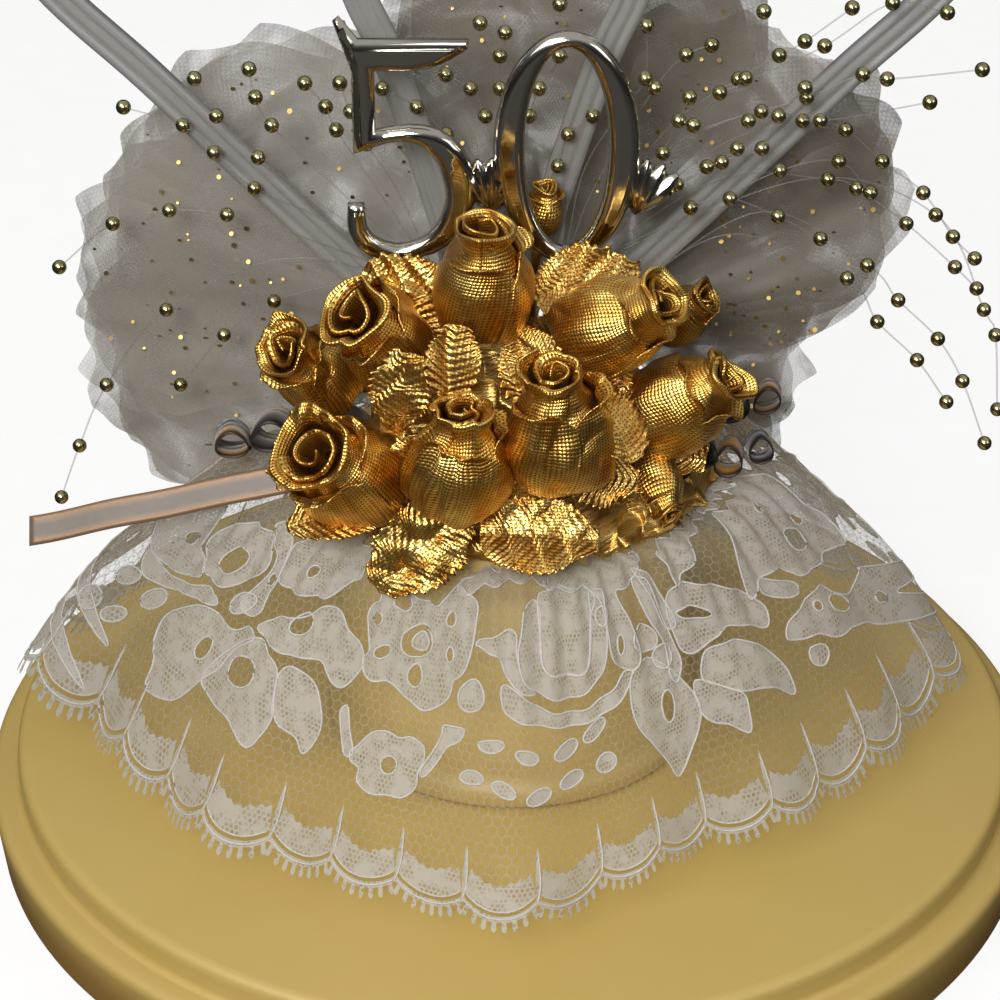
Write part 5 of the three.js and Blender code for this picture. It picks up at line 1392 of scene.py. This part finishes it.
bead_count = 0
bead, bead_faces = turned(smooth_line(BEAD_PROFILE, 17) * BEAD_RADIUS, BEAD_SIDES)
for name, (lane, root, strands) in SPRAYS.items():
    spray = Forms()
    for strand in strands:
        knots = spray_places(lane, [root, *strand])
        line = smooth_line(knots, STRAND_STEPS * (len(knots) - 1) + 1)
        along = unit(np.gradient(line, axis=0))[::STRAND_STEPS]
        spray.add(*tube(line, FILAMENT_RADIUS, 6))
        for k in range(2, len(knots)):
            spray.add(aimed(bead, knots[k], along[k], (0, -1, 0)), bead_faces, finish=1)
            bead_count += 1
    wired(spray, spray_places(lane, [root])[0], finish=2)
    make(name + "_beads", spray, [nylon, bead_gold, wire_metal], [name])
print("beads:", bead_count)

# %% [markdown]
# ## Tulle
# Tulle is a light nylon net with hexagon holes under a millimetre wide. Each puff is a square of
# it gathered at a tied foot, so folds run out like spokes and several layers lie over one
# another; that is why it looks grey and cloudy though each layer is nearly clear. Small gold
# flakes are stuck to it. The layers carry the same procedural net as the lace ground, at its own
# finer spacing.

# %% Tulle net and gold flakes
TULLE_SPACING, TULLE_THREAD = 0.42, 0.1
tulle_net = {
    side: netting(name, colour, TULLE_SPACING, TULLE_THREAD, cover, haze, 0.26)
    for side, name, colour, cover, haze in (
        ("left", "pale_nylon_tulle", 0xACA69B, 0.65, 0.54),
        ("right", "grey_nylon_tulle", 0x928A7C, 0.72, 0.61),
    )
}
flake_gold = bead_plating("gold_glitter_film", 0xC8AC6A, 0x7A6030, 0.35)

# %% The puffs
TULLE_REACH, TULLE_TOP, TULLE_TIE = 46, 52, 1.5
CUP_BORE = 18
# Each puff: its foot in shares of the cup's bore, its fan in turns, its lean, its edge's reaches.
PUFFS = {
    "tulle_left_top": ((-0.117, 0.722), (0.325, 0.46), 0.06, (0.72, 0.93, 1, 1, 0.97)),
    "tulle_left_middle": ((-0.303, 0.556), (0.415, 0.525), 0.05, (0.9, 0.96, 0.96, 0.9, 0.86)),
    "tulle_left_low": ((-0.49, 0.694), (0.485, 0.598), 0.12, (0.82, 0.88, 0.9, 0.88, 0.82)),
    "tulle_centre": ((0.093, 0.889), (0.165, 0.31), 0.05, (0.95, 1.08, 1.14, 1.02, 0.75)),
    "tulle_right_top": ((0.257, 0.722), (0.09, 0.2), 0.06, (0.96, 0.98, 0.92, 0.87, 0.84)),
    "tulle_right_middle": ((0.443, 0.556), (0.02, 0.11), 0.05, (0.6, 0.72, 0.84, 0.86, 0.8)),
    "tulle_right_low": ((0.583, 0.694), (-0.11, 0.045), 0.12, (0.6, 0.55, 0.52, 0.53, 0.62)),
}
PUFF_ROWS, PUFF_COLUMNS, PUFF_LAYERS = 30, 90, 3
FLAKES, FLAKE_LIFT, TIE_PLACES = 60, 0.72, (-13.2, -6, 0, 1.2)


# %% One layer of a puff
def puff_tie(x, back):
    return np.array([x * CUP_BORE, back * CUP_BORE, TULLE_TOP])


def puff_surface(shares, layer, seed):
    """A layer of a puff: a function from a share across and a share out to points."""
    foot, (start, end), lean, edge = shares
    tie = puff_tie(*foot)
    reaches = smooth_line([(r, 0) for r in edge], 200)[:, 0] * TULLE_REACH

    def surface(t, s):
        spread = 0.01 + 0.014 * layer
        angle = (start - spread + (end - start + 2 * spread) * t) * TURN
        reach = np.interp(t, np.linspace(0, 1, 200), reaches) * (1 - 0.12 * (2 * t - 1) ** 8)
        points = 1 - np.abs(np.sin(2.5 * np.pi * t + 1.1 * layer + seed))
        reach = reach - 2.2 - 0.8 * layer + 2.4 * points + 0.4 * np.sin(31 * t + layer)
        r = TULLE_TIE / 2 + s * (reach - TULLE_TIE / 2)
        fold = 0.9 * np.cos(1.5 * TURN * t) + 0.5 * np.sin(9 * t + 5 * s + seed)
        fold = fold + 0.12 * np.cos(TURN * (5 + layer) * t + seed)
        depth = lean * r + s * fold + (layer - 1) * 0.35 * s
        places = [tie[0] + r * np.cos(angle), tie[1] + depth, tie[2] + r * np.sin(angle)]
        return np.stack(places, -1), r

    return surface


# %% Layers, flakes and ties
chance = np.random.default_rng(50)
for seed, (name, shares) in enumerate(PUFFS.items()):
    puff = Forms()
    t, s = np.meshgrid(np.linspace(0, 1, PUFF_COLUMNS), np.linspace(0, 1, PUFF_ROWS))
    start, end = shares[1]
    width = (end - start) * TURN * 0.75 * TULLE_REACH
    for layer in range(PUFF_LAYERS):
        corners, r = puff_surface(shares, layer, seed)(t, s)
        cloth = np.stack([t * width + 0.31 * layer, r + 0.17 * layer], -1)
        puff.add(corners, grid_faces(PUFF_ROWS, PUFF_COLUMNS), cloth)
    surface = puff_surface(shares, 1, seed)
    for _ in range(FLAKES):
        at_t, at_s = chance.uniform(0.03, 0.97), chance.uniform(0.35, 0.97) ** 0.8
        (middle, _), size = surface(np.array(at_t), np.array(at_s)), chance.uniform(0.12, 0.32)
        spin = chance.uniform(0, TURN) + np.arange(6) * TURN / 6
        tilt = chance.uniform(-0.8, 0.8)
        x, y, z = np.cos(spin), np.sin(spin) * math.sin(tilt), np.sin(spin) * math.cos(tilt)
        flake = np.stack([x, y - FLAKE_LIFT / size, z], -1)
        puff.add(middle + size * flake, [range(6)], finish=1)
    tie = puff_tie(*shares[0]) + np.outer(TIE_PLACES, [0, 0, 1])
    puff.add(*tube(tie, TULLE_TIE * 0.8, 12), finish=2)
    side = "left" if "left" in name else "right"
    make(name + "_net", puff, [tulle_net[side], flake_gold, wire_metal], [name])
print("tulle puffs:", len(PUFFS), "of", PUFF_LAYERS, "layers")

# %% [markdown]
# ## Bow
# The bow is narrow satin ribbon with a gold thread woven along both edges. The loops lie out to the
# sides under the flowers and one tail runs out over the lace. Satin shines along its length, so its
# highlight is stretched across the ribbon.

# %% Gold-edged satin
RIBBON_WIDTH, LOOP_CLOTH, TAIL_CLOTH = 3.2, 0.16, 0.2


def edged_satin(name, colour, shade, gold, border, shine):
    material, tree = new_material(name)
    flat = cloth_map(tree)
    away = maths(tree, "ABSOLUTE", one_axis(tree, flat, "Y"))
    edge = ramp(tree, away, RIBBON_WIDTH / 2 - border, RIBBON_WIDTH / 2 - 0.4 * border)
    body = blend(tree, noise(tree, flat, 0.8, 3), shade, colour)
    thread = node(tree, "TexWave", {"Vector": flat, "Scale": 3.2}).outputs["Fac"]
    return finished(material, skin(
        tree, Base_Color=blend(tree, edge, body, gold), Roughness=0.4, IOR=1.5,
        Metallic=maths(tree, "MULTIPLY", edge, shine), Sheen_Weight=0.3,
        Normal=bump(tree, thread, 0.15, 0.05),
    ))


# The tail's satin is pale blush; it is written a dark grey-brown, painted shade for the shade it
# lies in.
shaded_blush_satin = edged_satin("gold_edged_satin", 0x6E6254, 0x5C5044, 0x7E6248, 1.1, 0.35)
sheer_ribbon = edged_satin("brown_edged_organza", 0x5A5046, 0x3C342C, 0x20150C, 1.15, 0.5)
amber_ribbon = edged_satin("amber_edged_organza", 0xB6842E, 0x6E4616, 0x34200C, 0.8, 0.5)

# %% Loops and tail
LOOP_HEIGHT, LOOP_LENGTH, TAIL_LENGTH, TAIL_FALL, RIBBON_GAP = 4.4, 17, 37, 0.235, 0.3
# Each loop: its side, then where it starts (forward, up), its rise and its reach.
LOOPS = {
    "bow_loop_left_upper": (-1, 0.588, 0.75, -0.02, 1),
    "bow_loop_left_lower": (-1, 0.147, 0.0, 0.02, 1.05),
    "bow_loop_right_upper": (1, 0.392, 1.125, 0.2, 0.8),
    "bow_loop_right_lower": (1, 0.833, 0.5, 0.02, 0.7),
}


def bow_root(side, forward, lift):
    """Where a ribbon leaves the side of the foam."""
    forward, height = forward * FOAM_HALF_DEPTH, FOAM_SHOULDER + lift * RIBBON_WIDTH
    rise = max(0, height - FOAM_SHOULDER) / FOAM_DOME
    edges = forward + np.array([-1, 1]) * RIBBON_WIDTH / 2 - FOAM_FORWARD
    shares = 1 - rise**2 - (edges / FOAM_HALF_DEPTH) ** 2
    reach = FOAM_HALF_WIDTH * math.sqrt(max(0, *shares)) + RIBBON_GAP
    return np.array([side * reach, -forward, height])


# Each curl of a loop: where it lies along the loop, and its size, as shares.
RINGLETS = [(0.14, 0.8), (0.36, 0.7), (0.6, 0.78), (0.86, 0.66)]
for seed, (name, (side, forward, lift, rise, reach)) in enumerate(LOOPS.items()):
    root = bow_root(side, forward, lift) + [side * 0.2, 0, 0]
    length, loop = reach * LOOP_LENGTH, Forms()
    angle, edge = np.meshgrid(np.arange(48) * TURN / 48, np.linspace(-0.5, 0.5, 7))
    for k, (share, size) in enumerate(RINGLETS):
        tall, wide = size * LOOP_HEIGHT / 2, 0.15 * length * size
        lean = 0.5 * math.sin(2.3 * k + seed)
        x = share * length + wide * np.cos(angle) * (1 - 0.25 * np.sin(angle)) + lean * edge
        z = tall * np.sin(angle) + rise * x - 0.3
        z = z + 0.3 * np.sin(5 * edge + k) + 0.7 * math.cos(2.9 * k + seed)
        corners = np.stack([side * x, edge * RIBBON_WIDTH, z], -1) + root
        cloth = np.stack([angle * tall, edge * RIBBON_WIDTH], -1)
        loop.add(corners, grid_faces(7, 48, wrapped=True), cloth, finish=(k + seed) % 2)
    finishes = [sheer_ribbon, amber_ribbon]
    make(name + "_ribbon", loop, finishes, [name], thickness=LOOP_CLOTH)

# %% The tail
u, edge = np.meshgrid(np.linspace(0, 1, 60), np.linspace(-0.5, 0.5, 9))
root, length = bow_root(-1, 0.882, 0.125), 0.98 * TAIL_LENGTH
out, across, upright = u * length, edge * 0.5 * RIBBON_WIDTH, edge * 0.86 * RIBBON_WIDTH
ripple = 0.1 * np.sin(3 * TURN * u) * u
height = root[2] - TAIL_FALL * out + upright + ripple
corners = np.stack([root[0] - out, root[1] + across, height], -1)
tail = Forms().add(corners, grid_faces(9, 60), np.stack([out, edge * RIBBON_WIDTH], -1))
make(
    "bow_tail_left_ribbon", tail, [shaded_blush_satin], ["bow_tail_left"],
    thickness=TAIL_CLOTH,
)

# %% Update the scene
bpy.context.view_layer.update()
